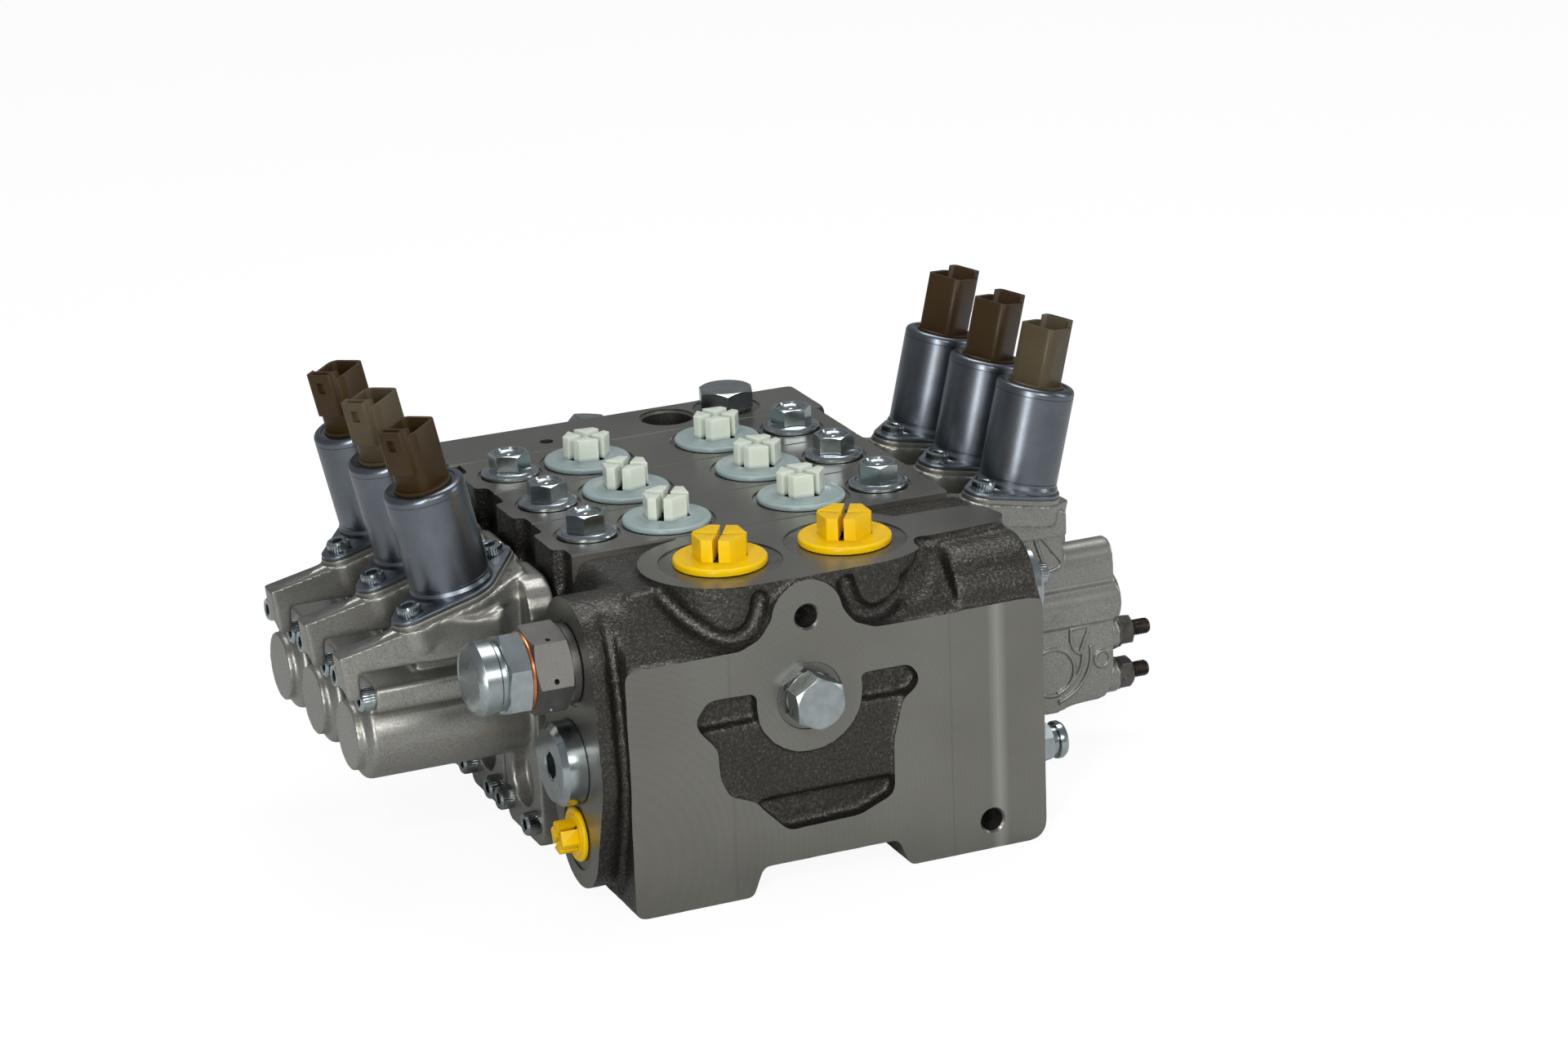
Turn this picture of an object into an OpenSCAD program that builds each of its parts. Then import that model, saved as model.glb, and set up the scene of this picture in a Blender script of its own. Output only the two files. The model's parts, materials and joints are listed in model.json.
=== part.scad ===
// Sectional load sensing directional valve: an inlet element, three spool sections and an end
// element, with two pilot caps, two pilot solenoids and one spool for each section.
// Lengths are millimetres. X runs along the spools, Y from the front face to the back, Z up.

/* [Stack] */
// Spacing from one section to the next
pitch = 38; // [36:0.5:44]
// Depth of the inlet element, front to back
inlet_depth = 59.4; // [58:0.2:66]
// Depth of the end element
end_depth = 29; // [27:0.5:36]
// Height of the machined top faces above the feet
top_z = 110; // [108:0.5:116]
// Height of the notch between the feet
foot_notch = 10.1; // [6:0.1:14]
// Distance from the centre plane to the seat of the pilot caps on side A
seat_a = 66; // [64:0.5:70]
// Distance from the centre plane to the seat of the pilot caps on side B
seat_b = 80; // [78:0.5:84]
// Half the width of the front face, towards side A
front_a = 65.4; // [63:0.2:68]
// Half the width of the front face, towards side B
front_b = 87; // [85:0.2:92]
// Height of the front machined face
front_z = 88; // [86:0.2:91]

/* [Ports] */
// Offset of the pressure port towards side A
port_p_x = 18.2; // [17.5:0.1:22]
// Offset of the return port towards side B
port_t_x = 27.5; // [25:0.1:31]
// Distance of both main ports from the front face
main_port_y = 29.5; // [28:0.1:31]
// Wall diameter of the main ports
main_port_d = 24.2; // [20:0.1:26]
// Spotface diameter of the main ports
main_spot_d = 42; // [38:0.5:44]
// Offset of the work ports towards side A
port_a_x = 17.7; // [15:0.1:19]
// Offset of the work ports towards side B
port_b_x = 32.8; // [30:0.1:36]
// Wall diameter of the work ports
work_port_d = 18.8; // [15:0.1:20]
// Spotface diameter of the work ports
work_spot_d = 34; // [30:0.5:35]
// Offset of the flanged plugs towards side A
flange_plug_a_x = 47.1; // [44:0.1:48]
// Offset of the flanged plugs towards side B
flange_plug_b_x = 62.4; // [58:0.1:65]
// Depth of the spotfaces
spot_depth = 0.4; // [0.2:0.1:0.8]
// Depth of the port threads
port_depth = 16; // [13:0.5:18]

/* [Spools] */
// Height of the spool axes above the feet
spool_z = 53; // [50:0.5:55]
// Diameter of the spools
spool_d = 16; // [14:0.5:18]
// Radial clearance of a spool in its bore
spool_gap = 0.02; // [0.01:0.01:0.1]
// Stroke of a spool each way
stroke = 7; // [4:0.5:8]
// Wire diameter of the centring springs
spring_wire = 2; // [1.2:0.1:2.6]

/* [Pilot caps] */
// Outer radius of the spring barrel on side A
barrel_r = 16; // [15:0.1:17]
// Distance from the centre plane to the end of that barrel
barrel_end = 133; // [128:0.5:140]
// Half the width of a cap
cap_half = 18.4; // [17:0.1:18.9]
// Thickness of the mounting flange of a side A cap
flange_t = 9.5; // [8:0.5:12]
// Distance from the centre plane to the end of the side B barrel
barrel_b_end = 153; // [150:0.5:158]
// Outer radius of the side B barrel
barrel_b_r = 9.8; // [9:0.1:11]
// Height of the stroke lever's pivot
pivot_z = 30; // [29:0.5:32]
// Distance of the stroke lever's pivot from the centre plane
pivot_x = 125.2; // [124:0.2:126]
// Clearance between a fastener and its hole
hole_gap = 0.1; // [0.05:0.05:0.3]

/* [Pilot solenoids] */
// Diameter of a solenoid can
can_d = 28; // [24:0.5:30]
// Length of a solenoid can above its flange
can_len = 37.8; // [34:0.2:46]
// Outward tilt of the solenoids on side A
tilt_a = 12.2; // [8:0.1:14]
// Outward tilt of the solenoids on side B
tilt_b = 13.2; // [8:0.1:15]
// Thickness of the oval solenoid flange
oval_t = 3.2; // [2.5:0.1:5]
// Offset of a flange screw along the cap
oval_x = 19.4; // [18.5:0.1:21]
// Offset of a flange screw across the cap
oval_y = 11.4; // [10:0.1:12]
// Height of the connector shroud above the can
shroud_h = 21; // [16:0.5:26]

/* [Fasteners] */
// Thread diameter of the cap and solenoid screws
screw_d = 5; // [4:0.5:6]
// Thread diameter of the tie rods
tie_d = 8; // [6:0.5:9]
// Diameter of the front mounting holes
mount_hole_d = 8.5; // [6.8:0.1:10.2]
// Diameter of the small holes in the top of the end element
small_hole_d = 5; // [4.2:0.1:6.8]

/* [Hidden] */
$fn = 48;
sections = 3;
iron = [0.36, 0.34, 0.32];
die_cast = [0.55, 0.53, 0.50];
zinc = [0.70, 0.72, 0.74];
steel = [0.45, 0.46, 0.50];
brown = [0.36, 0.24, 0.12];

// Places along the stack
stack_back = inlet_depth + sections * pitch;
stack_end = stack_back + end_depth;
function section_front(k) = inlet_depth + (k - 1) * pitch;
function section_mid(k) = section_front(k) + pitch / 2;

// Solenoid axes: each starts at this height, this far from the centre plane
sol_z = 120;
sol_a_x = 100.9;
sol_b_x = 120.8;
// Along a solenoid axis, from that point: underside and top of the oval flange, top of the can
pad_s = -23;
oval_top = pad_s + oval_t;
can_top = oval_top + can_len;

// Screws of the caps
cap_screw_y = 13.25;
cap_screw_low = 14;
cap_screw_high_a = 70;
cap_screw_high_b = 71;
head_h = screw_d;
head_r = 0.85 * screw_d;
screw_bite = 12;
long_seat_a = barrel_end - 1.5;
long_seat_b = 115.4;
flange_b_t = 8;

// Left boss of the inlet element with its three bores, and the right side
boss_x = 74.5;
boss_y = 28;
ls_z = 23;
comp_z = 49.3;
relief_z = top_z - 25.7;
hex_plug_z = 68.25;
gallery_z = 34;
gallery_r = 5.5;
comp_d = 20;
comp_thread_r = 12;
comp_thread = 14;

// Extent of the valve, which centres it on the origin
cap_reach = barrel_end + 10.5;
nut_seat = barrel_b_end + 1;
limit_tip = nut_seat + 14;
front_head = 10;
rear_head = 9.6;
shift_x = (cap_reach - limit_tip) / 2;
shift_y = (front_head - stack_end - rear_head) / 2;

module placed() translate([shift_x, shift_y, 0]) children();

// Bars and hexagons along the three axes
module xbar(r, x0, x1, y, z) translate([x0, y, z]) rotate([0, 90, 0]) cylinder(r = r, h = x1 - x0);
module ybar(r, y0, y1, x, z) translate([x, y1, z]) rotate([90, 0, 0]) cylinder(r = r, h = y1 - y0);
module zbar(r, z0, z1, x, y) translate([x, y, z0]) cylinder(r = r, h = z1 - z0);
module hexagon(flats, h) cylinder(r = flats / sqrt(3), h = h, $fn = 6);
module screw_hole(x0, x1, y, z) xbar(screw_d / 2 + hole_gap, x0, x1, y, z);
// A profile in X and Z, pulled along Y, and one in Y and Z, pulled along X
module pull_y(y0, y1) translate([0, y1, 0]) rotate([90, 0, 0]) linear_extrude(y1 - y0) children();
module pull_x(x0, x1) translate([x0, 0, 0]) rotate([90, 0, 90]) linear_extrude(x1 - x0) children();

// A polygon whose corners [x, y, r] are rounded with radius r
function corner(a, b, c, r, n = 5) = r == 0 ? [b] :
    let(u = (a - b) / norm(a - b), v = (c - b) / norm(c - b), half = acos(u * v) / 2,
        d = r / tan(half), m = (u + v) / norm(u + v), o = b + m * r / sin(half),
        p = b + u * d, q = b + v * d, a0 = atan2(p.y - o.y, p.x - o.x),
        a1 = atan2(q.y - o.y, q.x - o.x), sweep = (a1 - a0 + 540) % 360 - 180)
    [for (i = [0:n]) o + r * [cos(a0 + sweep * i / n), sin(a0 + sweep * i / n)]];
function flat(p) = [p.x, p.y];
function rounded(p) = let(n = len(p))
    [for (i = [0:n - 1]) each corner(flat(p[(i + n - 1) % n]), flat(p[i]), flat(p[(i + 1) % n]), p[i][2])];
module shape(p) polygon(rounded(p));

// Two discs joined by their common tangents, which run a hair inside the discs
tangent_in = 0.04;
module capsule(p1, r1, p2, r2) {
    d = p2 - p1;
    a = atan2(d.y, d.x);
    b = acos((r1 - r2) / norm(d));
    u1 = r1 - tangent_in;
    u2 = r2 - tangent_in;
    translate(p1) circle(r1);
    translate(p2) circle(r2);
    polygon([p1 + u1 * [cos(a + b), sin(a + b)], p2 + u2 * [cos(a + b), sin(a + b)],
        p2 + u2 * [cos(a - b), sin(a - b)], p1 + u1 * [cos(a - b), sin(a - b)]]);
}

// Coil of round wire along Z as a stack of rings joined by its own pitch
module coil(r, wire, length, turns) {
    step = (length - wire) / turns;
    for (i = [0:turns]) translate([0, 0, wire / 2 + i * step])
        rotate_extrude($fn = 32) translate([r, 0]) circle(wire / 2, $fn = 16);
    for (i = [0:turns - 1]) rotate([0, 0, 180 * i]) translate([r, 0, wire / 2 + i * step])
        cylinder(r = wire / 4, h = step);
}

// A socket head screw along Z: head above zero, shank below
module socket_screw(bite, head = head_h) {
    difference() {
        cylinder(r = head_r, h = head);
        translate([0, 0, head * 0.45]) hexagon(0.8 * screw_d, head);
    }
    translate([0, 0, -bite]) cylinder(r = screw_d / 2, h = bite);
}

// A spotfaced, threaded hole along -Z from zero
module port_cut(wall_d, spot_d, depth) {
    translate([0, 0, -spot_depth]) cylinder(r = spot_d / 2, h = spot_depth + 1);
    translate([0, 0, -depth]) cylinder(r = wall_d / 2, h = depth + 1);
}

// Four tie rods hold the stack: [x, z]
tie_places = [[-33, 84], [48.3, 84], [-48, 24], [62, 24]];
// Oil galleries along Y: [x, z]
galleries = [[0, hex_plug_z], [0, gallery_z]];
seal_r = gallery_r + 3;
seal_t = 1.6;

module stack_cuts(y0, y1) {
    for (g = galleries) ybar(gallery_r, y0, y1, g.x, g.y);
    for (t = tie_places) ybar(tie_d / 2 + hole_gap, y0, y1, t.x, t.y);
}

module seal_grooves(y) {
    for (g = galleries) translate([g.x, y, g.y]) rotate([-90, 0, 0])
        difference() {
            translate([0, 0, -1]) cylinder(r = seal_r + 1, h = 1 + seal_t);
            translate([0, 0, -2]) cylinder(r = gallery_r + 1, h = 3 + seal_t);
        }
}

// Inlet element: front plate, port lobes, top pad and the boss for its three side bores
lobe_r = 27.8;
pad_h = 2.5;
boss_hole_z = 96.2;
corner_hole = [66.5, 10.25];
mount_hole_depth = 16;

module front_outline() shape([[-front_a, 0, 3], [-23, 0, 2], [-19, foot_notch, 2], [31, foot_notch, 2],
    [35, 0, 2], [front_b, 0, 6], [front_b, front_z, 5], [-front_a, front_z, 5]]);

module pad_outline() {
    translate([-port_p_x, main_port_y]) circle(lobe_r);
    translate([port_t_x, main_port_y]) circle(lobe_r);
    shape([[-port_p_x, 1.4, 0], [port_t_x, 1.4, 0], [port_t_x, inlet_depth, 0],
        [-port_p_x - 4, inlet_depth, 0]]);
    shape([[40, 19, 0], [54, 18.8, 0], [80.6, 20.6, 5], [front_b - 0.9, 27, 4], [83.4, 40, 5],
        [72, 42.6, 0], [40, 43.2, 0]]);
}

module boss_lobes() {
    capsule([27.5, ls_z], 18.5, [boss_y, comp_z], 26.5);
    capsule([boss_y, comp_z], 26.5, [boss_y, relief_z], 22.5);
}

module pocket_outline() difference() {
    shape([[-41.6, 66.3, 4], [-36.5, 73, 4], [-14, 72.6, 0], [14, 73, 0], [36.8, 73, 4],
        [41.6, 66.6, 4], [34.5, 60.6, 4], [31, 48, 0], [30, 27.4, 4], [17, 22.2, 4], [-9.5, 21.6, 5],
        [-20.9, 33.6, 5], [-30.5, 37.6, 5], [-33.6, 45, 0], [-34, 55, 5], [-39.5, 61.5, 0]]);
    translate([0, hex_plug_z]) circle(19.2);
}

module inlet_element() color(iron) placed() difference() {
    union() {
        pull_y(0, inlet_depth) front_outline();
        intersection() {
            pull_x(-front_a, front_b) polygon([[0, 60], [0, front_z - 1], [19.5, top_z - pad_h],
                [inlet_depth, top_z - pad_h], [inlet_depth, 60]]);
            pull_y(-1, inlet_depth + 1) shape([[-front_a, 60, 0], [-front_a, 86, 4], [-57, top_z - pad_h, 6],
                [front_b, top_z - pad_h, 5], [front_b, 60, 0]]);
        }
        translate([0, 0, 84]) linear_extrude(top_z - 84) pad_outline();
        pull_y(0, 14) {
            translate([0, boss_hole_z]) circle(12.6);
            shape([[-27, 86, 0], [-25, front_z, 6], [-17, 91, 4], [-12.6, 97, 0], [12.6, 97, 0],
                [17, 91, 4], [25, front_z, 6], [27, 86, 0]]);
        }
        pull_x(-boss_x, -front_a + 12) boss_lobes();
    }
    pull_y(-1, 4.5) pocket_outline();
    for (p = [[-port_p_x, main_port_y], [port_t_x, main_port_y]]) translate([p.x, p.y, top_z])
        port_cut(main_port_d, main_spot_d, port_depth + 4);
    zbar(gallery_r, gallery_z, top_z - port_depth, -port_p_x, main_port_y);
    zbar(gallery_r, hex_plug_z, top_z - port_depth, port_t_x, main_port_y);
    xbar(gallery_r, 0, port_t_x, main_port_y, hex_plug_z);
    xbar(comp_d / 2 + spool_gap, -boss_x - 1, 40, boss_y, comp_z);
    xbar(comp_thread_r, -boss_x - 1, -boss_x + comp_thread, boss_y, comp_z);
    xbar(11.2, -boss_x - 1, -boss_x + 22, boss_y, relief_z);
    translate([-boss_x, boss_y, ls_z]) rotate([0, -90, 0]) port_cut(11.8, 25, 13);
    translate([front_b, boss_y, relief_z - 0.3]) rotate([0, 90, 0]) port_cut(22, 30, 14);
    translate([front_b, boss_y, ls_z]) rotate([0, 90, 0]) port_cut(11.8, 22, 13);
    translate([0, 0, hex_plug_z]) rotate([90, 0, 0]) port_cut(11.8, 25, 13);
    ybar(gallery_r, 0, inlet_depth + 1, 0, hex_plug_z);
    ybar(gallery_r, main_port_y, inlet_depth + 1, 0, gallery_z);
    xbar(gallery_r, -port_p_x, 0, main_port_y, gallery_z);
    for (p = [[0, boss_hole_z], corner_hole]) translate([p.x, 0, p.y]) rotate([-90, 0, 0]) {
        translate([0, 0, -1]) cylinder(r = mount_hole_d / 2, h = mount_hole_depth + 1);
        translate([0, 0, mount_hole_depth]) cylinder(r1 = mount_hole_d / 2, r2 = 0.5, h = 2.2);
    }
    for (t = tie_places) ybar(tie_d / 2 + hole_gap, inlet_depth - 22, inlet_depth + 1, t.x, t.y);
}

// One valve section, its front face at section_front(k)
section_foot = 5;
edge_a = 60;
rib_edge = 64;
work_passage_r = 7;
flange_plug_r = 7.9;
spotface_plug = 23;

module section(k) {
    f = section_front(k);
    m = section_mid(k);
    difference() {
        union() {
            pull_y(f, f + pitch) shape([[-seat_a, section_foot, 2], [-40, section_foot, 2],
                [-36, section_foot + 4, 2], [52, section_foot + 4, 2], [56, section_foot, 2],
                [seat_b, section_foot, 2], [seat_b, top_z, 0], [-edge_a, top_z, 0],
                [-edge_a, 96, 4], [-seat_a, 88, 2]]);
            pull_y(f + 8, f + 27) polygon([[-seat_a, 84], [-rib_edge, 92], [-rib_edge, top_z],
                [-edge_a + 1, top_z], [-edge_a + 1, 84]]);
        }
        xbar(spool_d / 2 + spool_gap, -seat_a - 1, seat_b + 1, m, spool_z);
        for (x = [-port_a_x, port_b_x]) {
            translate([x, m, top_z]) port_cut(work_port_d, work_spot_d, port_depth);
            zbar(work_passage_r, spool_z, top_z - port_depth + 1, x, m);
        }
        for (x = [-flange_plug_a_x, flange_plug_b_x]) translate([x, m, top_z])
            port_cut(2 * flange_plug_r, spotface_plug, 13);
        stack_cuts(f - 1, f + pitch + 1);
        zbar(gallery_r / 2, gallery_z, hex_plug_z, 0, m);
        seal_grooves(f);
        for (s = [-1, 1]) {
            for (z = [cap_screw_low, cap_screw_high_a])
                screw_hole(-seat_a - 1, -seat_a + screw_bite + 1, m + s * cap_screw_y, z);
            for (z = [cap_screw_low, cap_screw_high_b])
                screw_hole(seat_b - screw_bite - 1, seat_b + 1, m + s * cap_screw_y, z);
        }
    }
}
module section_1() color(iron) placed() section(1);
module section_2() color(iron) placed() section(2);
module section_3() color(iron) placed() section(3);

// End element with the open return port, two small top holes and the rear plug
end_left = seat_a;
end_right = seat_b + 4;
end_port = [27.25, stack_back + 15.7];
end_hex = [51.5, stack_back + 16.7];
small_holes = [[-22.4, stack_back + 10], [72.1, stack_back + 10]];
rear_plug = [2.7, 99.5];
small_hole_depth = 14;

module end_element() color(iron) placed() difference() {
    pull_y(stack_back, stack_end) shape([[-end_left, 0, 3], [-24, 0, 2], [-20, foot_notch, 2],
        [31, foot_notch, 2], [35, 0, 2], [end_right, 0, 3], [end_right, top_z, 2],
        [-end_left, top_z, 4]]);
    translate([end_port.x, end_port.y, top_z]) port_cut(work_port_d, work_port_d + 1, port_depth);
    translate([end_hex.x, end_hex.y, top_z]) port_cut(11.8, 24.8, 12);
    translate([rear_plug.x, stack_end, rear_plug.y]) rotate([-90, 0, 0]) port_cut(11.8, 20, 12);
    for (p = small_holes) zbar(small_hole_d / 2, top_z - small_hole_depth, top_z + 1, p.x, p.y);
    for (g = galleries) ybar(gallery_r, stack_back - 1, end_port.y, g.x, g.y);
    xbar(gallery_r, 0, end_port.x, end_port.y, hex_plug_z);
    zbar(gallery_r, hex_plug_z, top_z - port_depth + 1, end_port.x, end_port.y);
    for (t = tie_places) ybar(tie_d / 2 + hole_gap, stack_back - 1, stack_end + 1, t.x, t.y);
    seal_grooves(stack_back);
}

// Places a shape on a solenoid axis, its Z along the axis; side is -1 for A and 1 for B
module on_axis(side, k) {
    translate([side < 0 ? -sol_a_x : sol_b_x, section_mid(k), sol_z])
        rotate([0, side < 0 ? -tilt_a : tilt_b, 0]) children();
}
// The two flange screws of a solenoid; the rear one on side B sits closer in
rear_b = [12.6, 14.6];
function rear_screw(side) = side < 0 ? [oval_x, oval_y] : rear_b;
module both_screws(side) for (p = [[-oval_x, -oval_y], rear_screw(side)]) translate(p) children();

stem_r = 6;
stem_len = 13;
oval_end_r = 6.6;
oval_mid_r = 15.6;

module oval(side, r_end, r_mid) {
    capsule([-oval_x, -oval_y], r_end, [0, 0], r_mid);
    capsule([0, 0], r_mid, rear_screw(side), r_end);
}

module pad_cuts(side, k) on_axis(side, k) {
    translate([0, 0, pad_s - stem_len - 1]) cylinder(r = stem_r + hole_gap, h = stem_len + 2);
    translate([0, 0, pad_s - 40]) cylinder(r = 2.5, h = 30);
    both_screws(side) translate([0, 0, pad_s - screw_bite - 1])
        cylinder(r = screw_d / 2 + hole_gap, h = screw_bite + 2);
    translate([0, 0, pad_s]) linear_extrude(14) oval(side, oval_end_r + 1, oval_mid_r + 0.4);
}

// Pilot cap on side A: flange, spring barrel, long screw bosses, front plate and solenoid pad
disc_r = 12.2;
chamber_r = 12.6;
chamber_end = barrel_end - 7;
plate_low = 81;
plate_t = 8.5;
recess_z = 26;
recess_r = 10.3;
pad_t = 7;
ball_r = 8.2;
flange_top = 101;

module cap_a(k) {
    m = section_mid(k);
    difference() {
        union() {
            translate([0, m, 0]) {
                pull_x(-seat_a - flange_t, -seat_a) shape([[-cap_half + 0.4, section_foot, 5],
                    [cap_half - 0.4, section_foot, 5], [cap_half - 0.4, flange_top, 12],
                    [-cap_half + 0.4, flange_top, 12]]);
                translate([0, 0, spool_z]) rotate([0, -90, 0]) rotate_extrude() polygon([[0, seat_a],
                    [barrel_r, seat_a], [barrel_r, long_seat_a], [barrel_r - 0.6, barrel_end - 0.3],
                    [barrel_r - 2.4, barrel_end + 0.8], [disc_r, barrel_end + 1], [disc_r, barrel_end + 4.1],
                    [0, barrel_end + 4.1]]);
                for (s = [-1, 1]) pull_x(-long_seat_a, -seat_a)
                    shape([[s * cap_half, 65.5, 2], [s * 8, 65.5, 0], [s * 8, 74.6, 0],
                        [s * cap_half, 74.6, 2]]);
                pull_x(-long_seat_a, -seat_a) polygon([[-10, spool_z + 8], [10, spool_z + 8], [10, 74.6],
                    [-10, 74.6]]);
                pull_y(-cap_half, -cap_half + plate_t) shape([[-barrel_end - 3.6, 70.6, 0],
                    [-barrel_end - 8.5, 70.6, 3], [-cap_reach, 87, 0], [-cap_reach, 90, 1], [-122.6, 96.4, 1],
                    [-86, 92, 0], [-86, plate_low, 0], [-barrel_end - 3.6, plate_low, 1]]);
                pull_y(-9.5, 9.5) polygon([[-113, 70], [-116, 84], [-110, 90], [-80, 95], [-70, 95],
                    [-70, 70]]);
                pull_y(-cap_half + 1, -9) polygon([[-113, 80], [-113, 90], [-84, 95], [-84, 80]]);
            }
            on_axis(-1, k) {
                translate([0, 0, pad_s - pad_t]) linear_extrude(pad_t) {
                    oval(-1, ball_r, 16.6);
                    polygon([[9, -14], [24.5, -5], [25.5, 5], [9, 14]]);
                }
                translate([-oval_x, -oval_y, pad_s - pad_t + 1]) sphere(ball_r);
            }
        }
        xbar(chamber_r, -chamber_end, -seat_a + 1, m, spool_z);
        xbar(recess_r, -seat_a - flange_t - 1, -seat_a - flange_t + 6, m, recess_z);
        pad_cuts(-1, k);
        for (s = [-1, 1]) {
            screw_hole(-seat_a - flange_t - 1, -seat_a + 1, m + s * cap_screw_y, cap_screw_low);
            screw_hole(-long_seat_a - 1, -seat_a + 1, m + s * cap_screw_y, cap_screw_high_a);
            xbar(head_r + 0.6, -cap_reach - 2, -long_seat_a, m + s * cap_screw_y, cap_screw_high_a);
        }
    }
}
module cap_a_1() color(die_cast) placed() cap_a(1);
module cap_a_2() color(die_cast) placed() cap_a(2);
module cap_a_3() color(die_cast) placed() cap_a(3);

// Pilot cap on side B: slim barrel, lever housing with its two limit screws, pilot block
rod_r = 6;
rod_end = pivot_x + 12;
chamber_b_r = rod_r + 1;
chamber_b_end = rod_end + stroke + 3;
housing_end = barrel_b_end - 2.7;
housing_half = 9;
limit_upper_z = 38.5;
limit_lower_z = 22.2;
limit_r = 3;
limit_boss_r = 6.5;
lever_half = 4;
cavity_half = lever_half + 0.5;
cavity_r = 13.4;
shaft_r = 4;
block_t = 8;
boss_r = 5.2;

module cap_b(k) {
    m = section_mid(k);
    difference() {
        union() {
            translate([0, m, 0]) {
                pull_x(seat_b, seat_b + flange_b_t) shape([[-cap_half + 0.4, section_foot, 5],
                    [cap_half - 0.4, section_foot, 5], [cap_half - 0.4, 92, 8], [-cap_half + 0.4, 92, 8]]);
                xbar(barrel_b_r, seat_b, barrel_b_end, 0, spool_z);
                xbar(6.4, seat_b, housing_end + 1, 0, 69.3);
                pull_x(seat_b, housing_end + 1) polygon([[-6.4, 69.3], [-8.6, 58], [8.6, 58], [6.4, 69.3]]);
                pull_y(-housing_half, housing_half) {
                    translate([pivot_x, pivot_z]) circle(16);
                    shape([[seat_b, 50, 0], [seat_b, 14, 0], [pivot_x - 9, 14, 4], [pivot_x + 6, 15.6, 0],
                        [housing_end - 2.8, 16.7, 3], [housing_end, 28, 1], [housing_end, 50, 1]]);
                }
                for (z = [limit_upper_z, limit_lower_z]) xbar(limit_boss_r, pivot_x + 15, nut_seat, 0, z);
                pull_x(seat_b, long_seat_b) for (s = [-1, 1])
                    capsule([s * cap_screw_y, cap_screw_high_b], boss_r, [s * 4, 66], boss_r);
                pull_y(-10, 10) shape([[seat_b + 2, 66, 0], [seat_b + 2, 100, 0], [113, 96, 0], [131, 91, 0],
                    [131, 66, 0]]);
            }
            on_axis(1, k) translate([0, 0, pad_s - block_t]) linear_extrude(block_t) {
                oval(1, ball_r, 16.6);
                polygon([[9, -14], [20, -3.5], [18.8, 8], [0, 14]]);
            }
        }
        xbar(chamber_b_r, seat_b - 1, chamber_b_end, m, spool_z);
        translate([0, m, 0]) pull_y(-cavity_half, cavity_half) {
            translate([pivot_x, pivot_z]) circle(cavity_r);
            translate([pivot_x - 11, pivot_z]) square([22, spool_z - pivot_z]);
        }
        ybar(shaft_r, m - housing_half + 2, m + housing_half + 1, pivot_x, pivot_z);
        for (z = [limit_upper_z, limit_lower_z]) xbar(limit_r + 0.05, pivot_x, nut_seat + 1, m, z);
        pad_cuts(1, k);
        for (s = [-1, 1]) {
            screw_hole(seat_b - 1, seat_b + flange_b_t + 1, m + s * cap_screw_y, cap_screw_low);
            screw_hole(seat_b - 1, long_seat_b + 1, m + s * cap_screw_y, cap_screw_high_b);
            xbar(head_r + 0.6, long_seat_b, housing_end, m + s * cap_screw_y, cap_screw_high_b);
        }
    }
}
module cap_b_1() color(die_cast) placed() cap_b(1);
module cap_b_2() color(die_cast) placed() cap_b(2);
module cap_b_3() color(die_cast) placed() cap_b(3);

// Pilot solenoid: oval flange, can with a rolled shoulder and a cartridge stem
can_roll = 2;
hole_top_r = 9.8;

module solenoid(side, k) on_axis(side, k) difference() {
    union() {
        translate([0, 0, pad_s]) linear_extrude(oval_t) oval(side, oval_end_r, oval_mid_r);
        rotate_extrude() polygon([[0, pad_s], [can_d / 2 + 0.6, pad_s],
            [can_d / 2 + 0.6, oval_top + 1], [can_d / 2, oval_top + 2], each [for (a = [0:15:90])
            [can_d / 2 - can_roll + can_roll * cos(a), can_top - can_roll + can_roll * sin(a)]],
            [0, can_top]]);
        translate([0, 0, pad_s - stem_len]) cylinder(r = stem_r, h = stem_len + 1);
    }
    translate([0, 0, can_top - 2]) cylinder(r = hole_top_r, h = 3);
    both_screws(side) translate([0, 0, pad_s - 1]) cylinder(r = screw_d / 2 + hole_gap, h = oval_t + 2);
}
module solenoid_a_1() color(steel) placed() solenoid(-1, 1);
module solenoid_a_2() color(steel) placed() solenoid(-1, 2);
module solenoid_a_3() color(steel) placed() solenoid(-1, 3);
module solenoid_b_1() color(steel) placed() solenoid(1, 1);
module solenoid_b_2() color(steel) placed() solenoid(1, 2);
module solenoid_b_3() color(steel) placed() solenoid(1, 3);

// Connector receptacle: round foot, hollow shroud and the latch block that faces outwards
latch_angle = 35;
shroud_l = 14;
shroud_w = 12.5;
shroud_wall = 1.1;
latch_out = 16.3;
latch_w = 7.8;
latch_low = 8.5;
latch_over = 2.7;

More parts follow.
